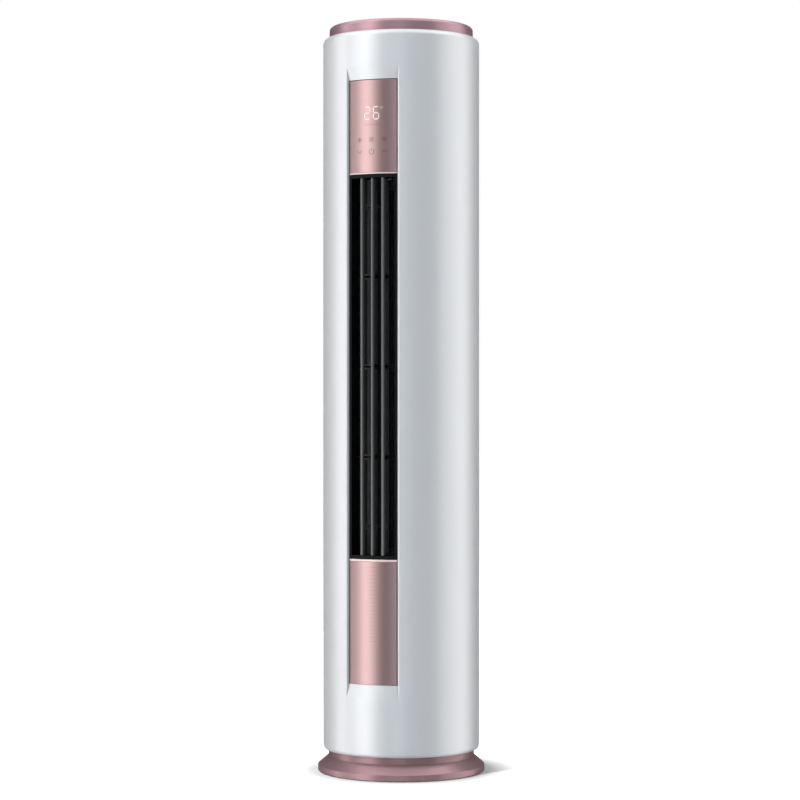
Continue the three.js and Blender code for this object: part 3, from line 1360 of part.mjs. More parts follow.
// One grille, built at the front so that its mesh can turn it to its place.
function grille() {
  const half = GRILLE_SPAN / 2 - edgeGapAngle;
  const z0 = zGrille + FIT;
  const z1 = zGrilleTop - FIT - GRILLE_TOP_GAP;
  const inner = grilleOuter - GRILLE_WALL;
  const shell = ringSector(inner, grilleOuter, -half, half, z0, z1);
  const turn = (GRILLE_SPAN - 2 * GRILLE_EDGE_ANGLE) / GRILLE_COLUMNS;
  const tier = (z1 - z0 - 2 * GRILLE_BORDER + GRILLE_RAIL) / GRILLE_TIERS;
  const slots = [];
  for (let c = 0; c < GRILLE_COLUMNS; c++) {
    const azimuth = (c - (GRILLE_COLUMNS - 1) / 2) * turn;
    for (let t = 0; t < GRILLE_TIERS; t++) {
      const from = z0 + GRILLE_BORDER + t * tier;
      slots.push(
        block(-GRILLE_SLOT_WIDTH / 2, -FAR, from, GRILLE_SLOT_WIDTH / 2, -inner / 2, from + tier - GRILLE_RAIL)
          .rotate([0, 0, azimuth]),
      );
    }
  }
  const hooks = [-HOOK_AZIMUTH, HOOK_AZIMUTH].map((azimuth) => grilleHook(inner, z0).rotate([0, 0, azimuth]));
  const pull = block(
    -GRILLE_PULL_WIDTH / 2, -FAR, z1 - GRILLE_PULL_HEIGHT,
    GRILLE_PULL_WIDTH / 2, -inner / 2, z1 + 1,
  );
  return join(cut(shell, ...slots, pull), ...hooks);
}

// A finger under the grille's lower edge that holds it behind the casing.
function grilleHook(inner, z0) {
  const half = HOOK_WIDTH / 2;
  const outerY = -(casingClear - 2 * FIT);
  const backY = outerY + GRILLE_WALL;
  const finger = block(-half, outerY, z0 - HOOK_LENGTH, half, backY, z0 + HOOK_LENGTH);
  const rootPad = block(-half, -inner - 1, z0 + 1, half, backY, z0 + HOOK_LENGTH);
  return join(finger, rootPad);
}

// A moulded frame with a fine net, behind one grille.
function filter() {
  const half = GRILLE_SPAN / 2 - edgeGapAngle - FILTER_EDGE_ANGLE;
  const outer = grilleOuter - GRILLE_WALL - FIT;
  const inner = outer - FILTER_DEPTH;
  const z0 = zGrille + FILTER_RISE;
  const z1 = zGrilleTop - FILTER_DROP;
  const borderAngle = deg(FILTER_BORDER / outer);
  const net = ringSector(
    inner + 1, inner + 1 + FILTER_MESH, -half + borderAngle / 2, half - borderAngle / 2,
    z0 + FILTER_BORDER / 2, z1 - FILTER_BORDER / 2,
  );
  const frame = ringSector(inner, outer, -half, half, z0, z1);
  const pitch = (z1 - z0 - FILTER_BORDER) / FILTER_BAYS;
  const openings = Array.from({ length: FILTER_BAYS }, (_, i) =>
    wedge(-half + borderAngle, half - borderAngle, z0 + FILTER_BORDER + i * pitch, z0 + (i + 1) * pitch),
  );
  return join(cut(frame, ...openings), net);
}

// ---------------------------------------------------------------- electrical box
const boxY = 34;
const zBox = zUpperDeckTop + FIT;
const CABLE_WAY = { y: 10, z: 12, width: 24, height: 22, depth: 5 }; // cut in the box's left side

function electricalBox() {
  const outer = block(-BOX_WIDTH / 2, boxY, zBox, BOX_WIDTH / 2, boxY + BOX_DEPTH, zBox + BOX_HEIGHT);
  const inner = block(
    -BOX_WIDTH / 2 + BOX_SHEET, boxY - 1, zBox + BOX_SHEET,
    BOX_WIDTH / 2 - BOX_SHEET, boxY + BOX_DEPTH - BOX_SHEET, zBox + BOX_HEIGHT - BOX_SHEET,
  );
  const wayY = boxY + CABLE_WAY.y;
  const wayZ = zBox + CABLE_WAY.z;
  const cableWay = block(
    -BOX_WIDTH, wayY, wayZ,
    -BOX_WIDTH / 2 + CABLE_WAY.depth, wayY + CABLE_WAY.width, wayZ + CABLE_WAY.height,
  );
  return cut(outer, inner, cableWay);
}

function electricalLid() {
  const lip = 10;
  const grow = FIT + BOX_SHEET;
  const outer = block(
    -BOX_WIDTH / 2 - grow, boxY - grow, zBox + BOX_SHEET,
    BOX_WIDTH / 2 + grow, boxY + lip, zBox + BOX_HEIGHT + grow,
  );
  const inner = block(
    -BOX_WIDTH / 2 - FIT, boxY - FIT, zBox,
    BOX_WIDTH / 2 + FIT, boxY + 2 * lip, zBox + BOX_HEIGHT + FIT,
  );
  return cut(outer, inner);
}

const boardY = boxY + BOX_DEPTH - BOX_SHEET - FIT;

function controlBoard() {
  const y = boardY - BOARD_STANDOFF;
  const x = BOX_WIDTH / 2 - BOARD_MARGIN;
  const z0 = zBox + BOARD_MARGIN;
  const z1 = zBox + BOX_HEIGHT - BOARD_MARGIN;
  const plate = block(-x, y - BOARD_THICKNESS, z0, x, y, z1);
  const legs = [LEG_WIDTH - x, x - LEG_WIDTH].flatMap((legX) =>
    [z0 + LEG_WIDTH, z1 - LEG_WIDTH].map((z) =>
      block(
        legX - LEG_WIDTH / 2, y - ROOT, z - LEG_WIDTH / 2,
        legX + LEG_WIDTH / 2, boardY, z + LEG_WIDTH / 2,
      ),
    ),
  );
  const relayX = -x + LEG_WIDTH;
  const relays = Array.from({ length: RELAY_COUNT }, (_, i) => {
    const z = z0 + RELAY_PITCH * (i + 0.6);
    return block(relayX, y - RELAY_DEPTH, z, relayX + RELAY_WIDTH, y - 1, z + RELAY_HEIGHT);
  });
  const sink = block(
    x - 2 * SINK_WIDTH, y - SINK_DEPTH, z0 + SINK_HEIGHT / 2,
    x - SINK_WIDTH, y - 1, z0 + 1.5 * SINK_HEIGHT,
  );
  return join(plate, ...legs, ...relays, sink);
}

const capacitorX = BOX_WIDTH / 2 - 2 * CAPACITOR_RADIUS;

function terminalBlock() {
  const x0 = capacitorX - CAPACITOR_RADIUS - TERMINAL_GAP - TERMINAL_WAYS * TERMINAL_PITCH;
  const z0 = zBox + BOX_SHEET + FIT;
  const y0 = boxY + TERMINAL_SETBACK;
  const y1 = y0 + TERMINAL_DEPTH;
  const base = block(x0, y0, z0, x0 + TERMINAL_WAYS * TERMINAL_PITCH, y1, z0 + TERMINAL_HEIGHT);
  const fences = Array.from({ length: TERMINAL_WAYS + 1 }, (_, i) => {
    const x = x0 + i * TERMINAL_PITCH;
    return block(x - 1, y0, z0, x + 1, y1, z0 + TERMINAL_HEIGHT * 1.6);
  });
  return join(base, ...fences);
}

function runCapacitor() {
  const z0 = zBox + BOX_SHEET + FIT;
  return rod(capacitorX, boxY + BOX_DEPTH * 0.3, CAPACITOR_RADIUS, z0, z0 + CAPACITOR_HEIGHT, 14);
}

// ---------------------------------------------------------------- assembly
const root = new THREE.Group();
root.name = "air_conditioner";

function group(name, parent = root) {
  const made = new THREE.Group();
  made.name = name;
  parent.add(made);
  return made;
}

function add(parent, name, made, material) {
  const mesh = new THREE.Mesh(geometryOf(made), material);
  mesh.name = name;
  parent.add(mesh);
  return mesh;
}

const casing = group("casing");
add(casing, "front_casing", frontCasing(), WHITE);
add(casing, "rear_casing", rearCasing(), WHITE);
add(casing, "display_panel", panel(zDisplay, zDisplayTop, PANEL_EDGE_BEVEL / 2, PANEL_END_BEVEL), ROSE);
add(casing, "lower_panel", panel(zLowerPanel, zOutlet, PANEL_END_BEVEL, PANEL_EDGE_BEVEL), ROSE);
add(casing, "pipe_collar", pipeCollar(), GREY_PLASTIC);
screwPlaces.forEach(([azimuth, z], i) => {
  const screw = add(casing, `casing_screw_${i + 1}`, casingScrew(), STEEL);
  const at = polar(BODY_RADIUS - SCREW_SINK + SCREW_HEAD_HEIGHT + FIT, azimuth);
  screw.rotation.set(0, Math.PI / 2, 0);
  const holder = group(`screw_place_${i + 1}`, casing);
  holder.add(screw);
  holder.position.set(at.x, at.y, z);
  holder.rotation.z = rad(azimuth - 90);
});

const base = group("base");
add(base, "base_cover", baseCover(), ROSE_PLASTIC);
add(base, "base_pan", basePan(), STEEL);
for (let i = 0; i < FOOT_COUNT; i++) {
  const at = polar(footCircle, 45 + (360 / FOOT_COUNT) * i);
  add(base, `foot_${i + 1}`, foot(), RUBBER).position.set(at.x, at.y, 0);
}

const top = group("top");
add(top, "top_cap", topCap(), ROSE_PLASTIC);
add(top, "top_deck", topDeck(), GREY_PLASTIC);

const chassis = group("chassis");
add(chassis, "frame_post_left", postAt(-1), STEEL);
add(chassis, "frame_post_right", postAt(1), STEEL);
add(chassis, "lower_deck", lowerDeck(), STEEL);
add(chassis, "upper_deck", upperDeck(), STEEL);

const outlet = group("outlet");
add(outlet, "outlet_frame", outletFrame(), BLACK);
const louvreNames = ["louvre_left", "louvre_centre", "louvre_right"];
louvreXs.forEach((x, i) => {
  const name = louvreNames[i] ?? `louvre_${i + 1}`;
  add(outlet, name, louvre(), BLACK).position.set(x, pivotY, 0);
});
add(outlet, "link_bar_lower", linkBar(linkHeights[0]), BLACK);
add(outlet, "link_bar_upper", linkBar(linkHeights[1]), BLACK);
add(outlet, "swing_motor", swingMotor(), STEEL);
add(outlet, "swing_shaft", swingShaft(), FOAM).position.set(0, pivotY, 0);
add(outlet, "display_board", displayBoard(), BOARD);
add(outlet, "display_holder", displayHolder(), GREY_PLASTIC);

const air = group("air_path");
add(air, "volute_wall", voluteWall(), FOAM);
add(air, "tongue_wall", tongueWall(), FOAM);
const fan = group("fan", air);
fan.position.set(FAN_X, FAN_Y, 0);
add(fan, "fan_rotor", fanRotor(), BLACK);
add(fan, "motor_shaft", motorShaft(), STEEL);
add(fan, "fan_axle", fanAxle(), STEEL);
add(fan, "fan_bearing", fanBearing(), RUBBER);
add(fan, "bearing_cup", bearingCup(), GREY_PLASTIC);
add(fan, "fan_motor", fanMotor(), GREY_PLASTIC);
add(fan, "motor_strap", motorStrap(), STEEL);

const coil = group("coil");
add(coil, "coil_fins", coilFins(), FINS);
[["coil_end_left", 1], ["coil_end_right", -1]].forEach(([name, side]) => {
  const end = add(coil, name, side > 0 ? coilEnd() : coilEnd().mirror([1, 0, 0]), COPPER);
  end.rotation.z = rad(side * (180 + COIL_SWEEP - deg(TUBE_SHEET / coilInner)));
});
add(coil, "drain_pan", drainPan(), GREY_PLASTIC);
add(coil, "drain_hose", drainHose(), GREY_PLASTIC);
add(coil, "gas_pipe", refrigerantPipe(gasAt, GAS_PIPE_RADIUS, gasEnd), COPPER);
add(coil, "liquid_pipe", refrigerantPipe(liquidAt, LIQUID_PIPE_RADIUS, liquidEnd), COPPER);
[["gas_nut", gasEnd, GAS_PIPE_RADIUS], ["liquid_nut", liquidEnd, LIQUID_PIPE_RADIUS]].forEach(
  ([name, end, radius]) => {
    add(coil, name, flareNut(radius), BRASS).position.set(end.x, pipeEndY - NUT_LENGTH / 2, end.z);
  },
);
add(coil, "pipe_bracket", pipeBracket(), STEEL);

const intake = group("intake");
[["left", 180 + SPINE_HALF_ANGLE + GRILLE_SPAN / 2], ["right", grilleMiddle]].forEach(([side, azimuth]) => {
  add(intake, `intake_grille_${side}`, grille(), WHITE).rotation.z = rad(azimuth);
  add(intake, `filter_${side}`, filter(), MESH).rotation.z = rad(azimuth);
});

const electrics = group("electrics");
add(electrics, "electrical_box", electricalBox(), STEEL);
add(electrics, "electrical_lid", electricalLid(), STEEL);
add(electrics, "control_board", controlBoard(), BOARD);
add(electrics, "terminal_block", terminalBlock(), GREY_PLASTIC);
add(electrics, "run_capacitor", runCapacitor(), GREY_PLASTIC);

export default root;
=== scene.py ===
import json
import math

import bmesh
import bpy
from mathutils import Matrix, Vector

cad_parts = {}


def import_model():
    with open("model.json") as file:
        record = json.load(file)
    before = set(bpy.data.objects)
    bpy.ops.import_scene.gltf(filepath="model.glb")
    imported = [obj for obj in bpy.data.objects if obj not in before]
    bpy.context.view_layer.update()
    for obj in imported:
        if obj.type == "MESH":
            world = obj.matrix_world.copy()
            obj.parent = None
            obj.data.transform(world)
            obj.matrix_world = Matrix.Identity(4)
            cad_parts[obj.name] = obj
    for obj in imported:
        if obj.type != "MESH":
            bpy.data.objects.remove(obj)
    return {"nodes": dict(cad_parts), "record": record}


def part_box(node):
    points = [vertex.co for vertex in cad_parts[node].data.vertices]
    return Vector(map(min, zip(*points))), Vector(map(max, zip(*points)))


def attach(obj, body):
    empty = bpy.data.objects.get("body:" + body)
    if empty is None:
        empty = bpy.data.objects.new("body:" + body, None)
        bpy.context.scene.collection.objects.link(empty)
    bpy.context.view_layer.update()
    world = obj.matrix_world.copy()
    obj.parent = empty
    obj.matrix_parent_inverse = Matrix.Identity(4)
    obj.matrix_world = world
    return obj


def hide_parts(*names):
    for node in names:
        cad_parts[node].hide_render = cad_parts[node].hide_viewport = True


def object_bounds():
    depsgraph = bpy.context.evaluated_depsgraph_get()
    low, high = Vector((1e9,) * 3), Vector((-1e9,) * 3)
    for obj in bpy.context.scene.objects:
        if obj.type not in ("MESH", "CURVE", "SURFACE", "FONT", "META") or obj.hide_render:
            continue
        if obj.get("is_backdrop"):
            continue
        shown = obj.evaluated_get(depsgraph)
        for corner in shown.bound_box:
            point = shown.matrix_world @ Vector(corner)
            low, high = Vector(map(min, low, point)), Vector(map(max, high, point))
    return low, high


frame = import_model()

MM = 0.001


def save_bounds(key, store={}):
    store[key] = [list(corner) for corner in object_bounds()]


save_bounds("frame")

# ------------------------------------------------------------------ sizes from the frame
casing_low, casing_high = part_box("front_casing")
lower_low, lower_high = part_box("lower_panel")
display_low, display_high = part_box("display_panel")
base_low, base_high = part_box("base_cover")
cap_low, cap_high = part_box("top_cap")

FIT = 0.3 * MM
BODY_RADIUS = casing_high.x
BASE_RADIUS = base_high.x
CAP_RADIUS = cap_high.x
PANEL_RADIUS = -display_low.y
PANEL_HALF_WIDTH = display_high.x

# Sizes that the frame's boxes don't show. Angles are in degrees.
WALL = 3 * MM
SHOULDER = 14 * MM
HEM = 11 * MM
HEM_SWEEP = 62
SEAM_AZIMUTH = 112.5
RECESS_DEPTH = 6.4 * MM
BEVEL_WIDTH = 5.7 * MM
BEVEL_ROUNDED = 0.75  # share of a recess wall that its rounded outer edge takes
SCOOP_LENGTH = 30 * MM
NECK_RADIUS = 172.5 * MM
NECK_START = 37 * MM
COVE_RADIUS = 2.2 * MM
BASE_RIM_TOP = 16 * MM
BASE_ROUNDING = 1.6 * MM
CAP_FILLET = 9 * MM
PANEL_THICKNESS = 2.7 * MM
PANEL_EDGE = 0.9 * MM
GROOVE = 1.2 * MM
DISPLAY_LIP = 3.2 * MM
LOWER_LIP = 5 * MM
LIP_ROUND = 1.6 * MM

SMOOTH_ANGLE = 32  # edges that fold more than this stay sharp
RADIAL_ANGLE = 7  # a face this near to upright and radial belongs to a round shell

# ------------------------------------------------------------------ mesh helpers
SAME_POINT = 1e-7  # vertices nearer than this are one
LATHE_STEPS = 240


def polar(radius, azimuth, z):
    """A point at an azimuth in degrees: 0 is the front (-Y), 90 the right-hand side (+X)."""
    angle = math.radians(azimuth)
    return Vector((radius * math.sin(angle), -radius * math.cos(angle), z))


def arc(centre_r, centre_z, radius, start, end, steps):
    angles = [math.radians(start + (end - start) * i / steps) for i in range(steps + 1)]
    return [(centre_r + radius * math.cos(a), centre_z + radius * math.sin(a)) for a in angles]


def between(start, end, steps):
    return [start + (end - start) * i / steps for i in range(steps + 1)]


def mesh_object(name, points, faces, slot):
    """A new piece with smooth shading, whose edges over SMOOTH_ANGLE stay sharp."""
    mesh = bpy.data.meshes.new(name)
    mesh.from_pydata([tuple(p) for p in points], [], faces)
    work = bmesh.new()
    work.from_mesh(mesh)
    bmesh.ops.remove_doubles(work, verts=work.verts, dist=SAME_POINT)
    bmesh.ops.recalc_face_normals(work, faces=work.faces)
    for face in work.faces:
        face.smooth = True
    for edge in work.edges:
        edge.smooth = len(edge.link_faces) == 2 and edge.calc_face_angle(0) < math.radians(SMOOTH_ANGLE)
    work.to_mesh(mesh)
    work.free()
    obj = bpy.data.objects.new(name, mesh)
    bpy.context.scene.collection.objects.link(obj)
    mesh.materials.append(MATERIALS[slot])
    return obj


def round_edges(obj, width):
    bevel = obj.modifiers.new("rounded_edges", "BEVEL")
    bevel.width = width
    bevel.segments = 3
    bevel.limit_method = "ANGLE"
    bevel.angle_limit = math.radians(35)
    bevel.harden_normals = True


def lathe(name, profile, slot):
    """Turns a closed (r, z) profile about the vertical axis."""
    points = []
    faces = []
    count = len(profile)
    for s in range(LATHE_STEPS):
        azimuth = 360 * s / LATHE_STEPS
        points += [polar(r, azimuth, z) for r, z in profile]
    for s in range(LATHE_STEPS):
        a = s * count
        b = ((s + 1) % LATHE_STEPS) * count
        for i in range(count):
            j = (i + 1) % count
            faces.append((a + i, a + j, b + j, b + i))
    return mesh_object(name, points, faces, slot)


def thick_sheet(name, rows, columns, outer, inner, kept, slot):
    """A sheet of rows by columns: outer and inner give its two faces, kept says which cells exist."""
    width = len(columns)
    half = len(rows) * width
    points = [outer(r, c) for r in rows for c in columns]
    points += [inner(r, c) for r in rows for c in columns]
    faces = []
    rim = {}  # edges that only one cell has, in the order they were met
    for i in range(len(rows) - 1):
        for j in range(width - 1):
            if not kept(rows[i], rows[i + 1], columns[j], columns[j + 1]):
                continue
            ring = (i * width + j, i * width + j + 1, (i + 1) * width + j + 1, (i + 1) * width + j)
            faces.append(ring)
            faces.append(tuple(k + half for k in reversed(ring)))
            for k in range(4):
                edge = (ring[k], ring[(k + 1) % 4])
                if edge[::-1] in rim:
                    del rim[edge[::-1]]
                else:
                    rim[edge] = True
    for a, b in rim:
        faces.append((b, a, a + half, b + half))
    return mesh_object(name, points, faces, slot)


# ------------------------------------------------------------------ materials
FINE_GRAIN = (900, 900, 900)  # noise cells to a metre along x, y and z
BRUSHED = (6, 6, 2600)
TONE_FROM = 0.3  # noise level at and under which a colour is darkest
TONE_TO = 0.7  # and at and over which it is lightest
LEAST_ROUGHNESS = 0.02
RELIEF = 0.4 * MM
# Samples for the shade painted into corners
PAINTED_SHADE_SAMPLES = 8


def node(tree, kind, **values):
    """Adds a node. A value goes to the input of its name, or else to the node's own setting."""
    made = tree.nodes.new(kind)
    for key, value in values.items():
        if key in made.inputs.keys():
            made.inputs[key].default_value = value
        else:
            setattr(made, key, value)
    return made


def surface(name, colour, roughness, metallic=0.0, grain=FINE_GRAIN, colour_change=0.03,
            rough_change=0.06, bump=0.02, shine=0.5, painted_shade_reach=0.0):
    """A finish whose colour, roughness and relief vary with a fine noise in the object's own space.

    A corner length paints shade into the colour: it darkens corners narrower than that length, where shade
    falls.
    """
    material = bpy.data.materials.new(name)
    material.use_nodes = True
    tree = material.node_tree
    shader = tree.nodes["Principled BSDF"]
    shader.inputs["Metallic"].default_value = metallic
    shader.inputs["Specular IOR Level"].default_value = shine
    place = node(tree, "ShaderNodeTexCoord")
    stretch = node(tree, "ShaderNodeMapping", Scale=grain)
    noise = node(tree, "ShaderNodeTexNoise", Scale=1.0, Detail=3.0, Roughness=0.6)
    tree.links.new(place.outputs["Object"], stretch.inputs["Vector"])
    tree.links.new(stretch.outputs["Vector"], noise.inputs["Vector"])
    tone = node(tree, "ShaderNodeValToRGB")
    low = [c * (1 - colour_change) for c in colour]
    high = [min(1.0, c * (1 + colour_change)) for c in colour]
    tone.color_ramp.elements[0].position = TONE_FROM
    tone.color_ramp.elements[0].color = (*low, 1)
    tone.color_ramp.elements[1].position = TONE_TO
    tone.color_ramp.elements[1].color = (*high, 1)
    tree.links.new(noise.outputs["Fac"], tone.inputs["Fac"])
    base = tone
    # Painted shade: an ambient-occlusion node darkens the colour in corners.
    if painted_shade_reach:
        base = node(tree, "ShaderNodeAmbientOcclusion", Distance=painted_shade_reach, samples=PAINTED_SHADE_SAMPLES)
        tree.links.new(tone.outputs["Color"], base.inputs["Color"])
    tree.links.new(base.outputs["Color"], shader.inputs["Base Color"])
    spread = node(tree, "ShaderNodeMapRange")
    spread.inputs["To Min"].default_value = max(LEAST_ROUGHNESS, roughness - rough_change)
    spread.inputs["To Max"].default_value = min(1.0, roughness + rough_change)
    tree.links.new(noise.outputs["Fac"], spread.inputs["Value"])
    tree.links.new(spread.outputs["Result"], shader.inputs["Roughness"])
    relief = node(tree, "ShaderNodeBump", Strength=bump, Distance=RELIEF)
    tree.links.new(noise.outputs["Fac"], relief.inputs["Height"])
    tree.links.new(relief.outputs["Normal"], shader.inputs["Normal"])
    return material


def net_surface(name, colour):
    """A fine woven net: two sets of thin pale lines across holes darkened as painted shade."""
    pitch = 0.7
    thread = 0.12
    # Painted shade: the holes are dark copies of the net's colour, standing for the shade seen through
    # them.
    hole_painted_shade = {"Color1": 0.25, "Color2": 0.3}
    material = surface(name, colour, 0.7, bump=0.0)
    tree = material.node_tree
    shader = tree.nodes["Principled BSDF"]
    place = node(tree, "ShaderNodeTexCoord")
    weave = node(tree, "ShaderNodeTexBrick", Scale=420.0, offset=0.0)
    for socket, tone in hole_painted_shade.items():
        weave.inputs[socket].default_value = (*[c * tone for c in colour], 1)
    weave.inputs["Mortar"].default_value = (*colour, 1)
    weave.inputs["Mortar Size"].default_value = thread
    weave.inputs["Brick Width"].default_value = pitch
    weave.inputs["Row Height"].default_value = pitch
    turn = node(tree, "ShaderNodeMapping", Rotation=(math.radians(90), 0, 0))
    tree.links.new(place.outputs["Object"], turn.inputs["Vector"])
    tree.links.new(turn.outputs["Vector"], weave.inputs["Vector"])
    tree.links.new(weave.outputs["Color"], shader.inputs["Base Color"])
    return material


def fin_surface(name, colour):
    """Thin fins one above another: level dark lines that paint the shade in the gaps between fins, all
    round the coil.
    """
    # Painted shade: the gaps between fins are dark copies of the fins' colour.
    gap_painted_shade = 0.15
    material = surface(name, colour, 0.4, metallic=0.9, bump=0.0)
    tree = material.node_tree
    shader = tree.nodes["Principled BSDF"]
    place = node(tree, "ShaderNodeTexCoord")
    lines = node(tree, "ShaderNodeTexWave", Scale=220.0, Distortion=0.0, bands_direction="Z")
    tone = node(tree, "ShaderNodeValToRGB")
    tone.color_ramp.elements[0].color = (*[c * gap_painted_shade for c in colour], 1)
    tone.color_ramp.elements[1].color = (*colour, 1)
    tree.links.new(place.outputs["Object"], lines.inputs["Vector"])
    tree.links.new(lines.outputs["Fac"], tone.inputs["Fac"])
    tree.links.new(tone.outputs["Color"], shader.inputs["Base Color"])
    relief = node(tree, "ShaderNodeBump", Strength=0.6, Distance=MM)
    tree.links.new(lines.outputs["Fac"], relief.inputs["Height"])
    tree.links.new(relief.outputs["Normal"], shader.inputs["Normal"])
    return material


MATERIALS = {
    # The white casing's colour has painted shade in corners within 6 mm, such as the recess walls.
    "white_casing": surface("white_casing", (0.672, 0.68, 0.692), 0.45, metallic=0.5, colour_change=0.008,
                            rough_change=0.03, bump=0.012, painted_shade_reach=6 * MM),
    "rose_panel": surface("rose_panel", (0.45, 0.303, 0.302), 0.35, metallic=1.0, grain=BRUSHED,
                          colour_change=0.04, rough_change=0.03, bump=0.05),
    "rose_plastic": surface("rose_plastic", (0.435, 0.27, 0.302), 0.40, metallic=0.75, colour_change=0.03),
    "black_plastic": surface("black_plastic", (0.016, 0.016, 0.018), 0.42, bump=0.05),
    "grey_plastic": surface("grey_plastic", (0.10, 0.105, 0.11), 0.5, bump=0.08),
    "foam_plastic": surface("foam_plastic", (0.62, 0.63, 0.63), 0.85, grain=(350, 350, 350), bump=0.4),
    "motor": surface("motor", (0.12, 0.125, 0.13), 0.45, metallic=0.3, bump=0.1),
    "steel": surface("steel", (0.55, 0.57, 0.59), 0.38, metallic=1.0, grain=(120, 120, 120),
                     colour_change=0.12, rough_change=0.1),
    "fins": fin_surface("fins", (0.72, 0.74, 0.76)),
    "copper": surface("copper", (0.72, 0.33, 0.18), 0.3, metallic=1.0, grain=(60, 60, 60),
                      colour_change=0.12),
    "brass": surface("brass", (0.75, 0.55, 0.24), 0.28, metallic=1.0, grain=(150, 150, 150)),
    "rubber": surface("rubber", (0.02, 0.02, 0.021), 0.8, bump=0.2),
    "board": surface("board", (0.02, 0.16, 0.07), 0.5, grain=(250, 250, 250), colour_change=0.3),
    "net": net_surface("net", (0.42, 0.44, 0.46)),
}

OUTLET_BLACK = surface("outlet_black", (0.004, 0.004, 0.004), 0.6, bump=0.05, shine=0.15)
LOUVRE_BLACK = surface("louvre_black", (0.065, 0.065, 0.066), 0.34, bump=0.02, shine=0.9)
DARK_STEEL = surface("dark_steel", (0.03, 0.03, 0.031), 0.6, metallic=0.3, bump=0.05)
# Painted shade: the base takes a darker copy of the cap's rose plastic, with its neck and floor corners
# darkened further in the colour.
ROSE_BASE_PAINTED_SHADE = surface("rose_base_painted_shade", (0.35, 0.212, 0.226), 0.38, metallic=0.55, colour_change=0.03,
                    painted_shade_reach=16 * MM)
# Painted highlight: a pale copy of the rose metal that keeps the panels' outlet edges bright.
LIP_PAINTED_HIGHLIGHT = surface("lip_painted_highlight", (0.83, 0.66, 0.645), 0.3, metallic=0.2, colour_change=0.02)

# Every CAD piece that shows takes its slot's finish.
for part in frame["record"]["subparts"]:
    shown = frame["nodes"][part["node"]]
    shown.data.materials.clear()
    shown.data.materials.append(MATERIALS[part["material_slot"]])
frame["nodes"]["outlet_frame"].data.materials[0] = OUTLET_BLACK
for side in ("left", "centre", "right"):
    frame["nodes"]["louvre_" + side].data.materials[0] = LOUVRE_BLACK
for inner in ("motor_shaft", "fan_axle"):
    frame["nodes"][inner].data.materials[0] = DARK_STEEL

SMOOTH_LIMIT = math.cos(math.radians(SMOOTH_ANGLE))
RADIAL_LIMIT = math.cos(math.radians(RADIAL_ANGLE))
ROUND_SHELLS = ("rear_casing", "intake_grille_left", "intake_grille_right")


def outward(place):
    """The level direction from the vertical axis to a place."""
    return Vector((place.x, place.y, 0)).normalized()


def radial_sign(polygon):
    """1 or -1 where an upright face points straight away from or to the vertical axis, else 0."""
    along = polygon.normal.dot(outward(polygon.center))
    return 0 if abs(along) < RADIAL_LIMIT else math.copysign(1, along)


def spot(place):
    """A key that vertices in the same place share."""
    return tuple(round(c / FIT, 1) for c in place)


def smooth_normals(obj, is_round_shell):
    """Shades a faceted CAD piece as the smooth surface that its facets stand for."""
    mesh = obj.data
    meeting = {}
    for polygon in mesh.polygons:
        polygon.use_smooth = True
        for vertex in polygon.vertices:
            meeting.setdefault(spot(mesh.vertices[vertex].co), []).append(polygon)
    normals = [Vector()] * len(mesh.loops)
    for polygon in mesh.polygons:
        sign = radial_sign(polygon) if is_round_shell else 0
        for corner, vertex in zip(polygon.loop_indices, polygon.vertices):
            place = mesh.vertices[vertex].co
            if sign:
                normals[corner] = outward(place) * sign
                continue
            near = [p for p in meeting[spot(place)] if p.normal.dot(polygon.normal) > SMOOTH_LIMIT]
            normals[corner] = sum((p.normal * p.area for p in near), Vector()).normalized()
    mesh.normals_split_custom_set(normals)


for name, piece in frame["nodes"].items():
    smooth_normals(piece, name in ROUND_SHELLS)

# ------------------------------------------------------------------ front casing
recess_low = lower_low.z - FIT - SCOOP_LENGTH
recess_high = display_high.z + FIT + SCOOP_LENGTH
recess_half_inner = PANEL_HALF_WIDTH + FIT
recess_half_outer = recess_half_inner + BEVEL_WIDTH
azimuth_outer = math.degrees(math.asin(recess_half_outer / BODY_RADIUS))
azimuth_inner = math.degrees(math.asin(recess_half_inner / PANEL_RADIUS))
SAME_AZIMUTH = 0.01  # azimuths nearer than this are one

# How finely the casing's sheet is divided
HEM_STEPS = 10
SHOULDER_STEPS = 14
SCOOP_STEPS = 14
RECESS_STEPS = 60
PLAIN_STEPS = 6  # between the recess and the hem or shoulder
FLANK_STEPS = 64
WALL_STEPS = 15
FLOOR_STEPS = 28


def casing_outline():
    """The casing's outer profile as (r, z), from the curled hem to the shoulder's edge."""
    hem_z = casing_low.z + HEM * math.sin(math.radians(HEM_SWEEP))
    shoulder_z = casing_high.z - SHOULDER
    hem = arc(BODY_RADIUS - HEM, hem_z, HEM, -HEM_SWEEP, 0, HEM_STEPS)
    shoulder = arc(BODY_RADIUS - SHOULDER, shoulder_z, SHOULDER, 0, 90, SHOULDER_STEPS)
    heights = between(hem_z, recess_low, PLAIN_STEPS)[1:-1]
    heights += between(recess_low, recess_low + SCOOP_LENGTH, SCOOP_STEPS)
    heights += between(lower_low.z - FIT, display_high.z + FIT, RECESS_STEPS)[1:-1]
    heights += between(recess_high - SCOOP_LENGTH, recess_high, SCOOP_STEPS)
    heights += between(recess_high, shoulder_z, PLAIN_STEPS)[1:-1]
    return hem + [(BODY_RADIUS, z) for z in heights] + shoulder


def scoop_radius(z):
    """How far out the recess floor lies at a height: it slopes out to the casing at both ends."""
    slope = RECESS_DEPTH / SCOOP_LENGTH
    past_end = max(recess_low + SCOOP_LENGTH - z, z - (recess_high - SCOOP_LENGTH), 0)
    return BODY_RADIUS - RECESS_DEPTH + past_end * slope


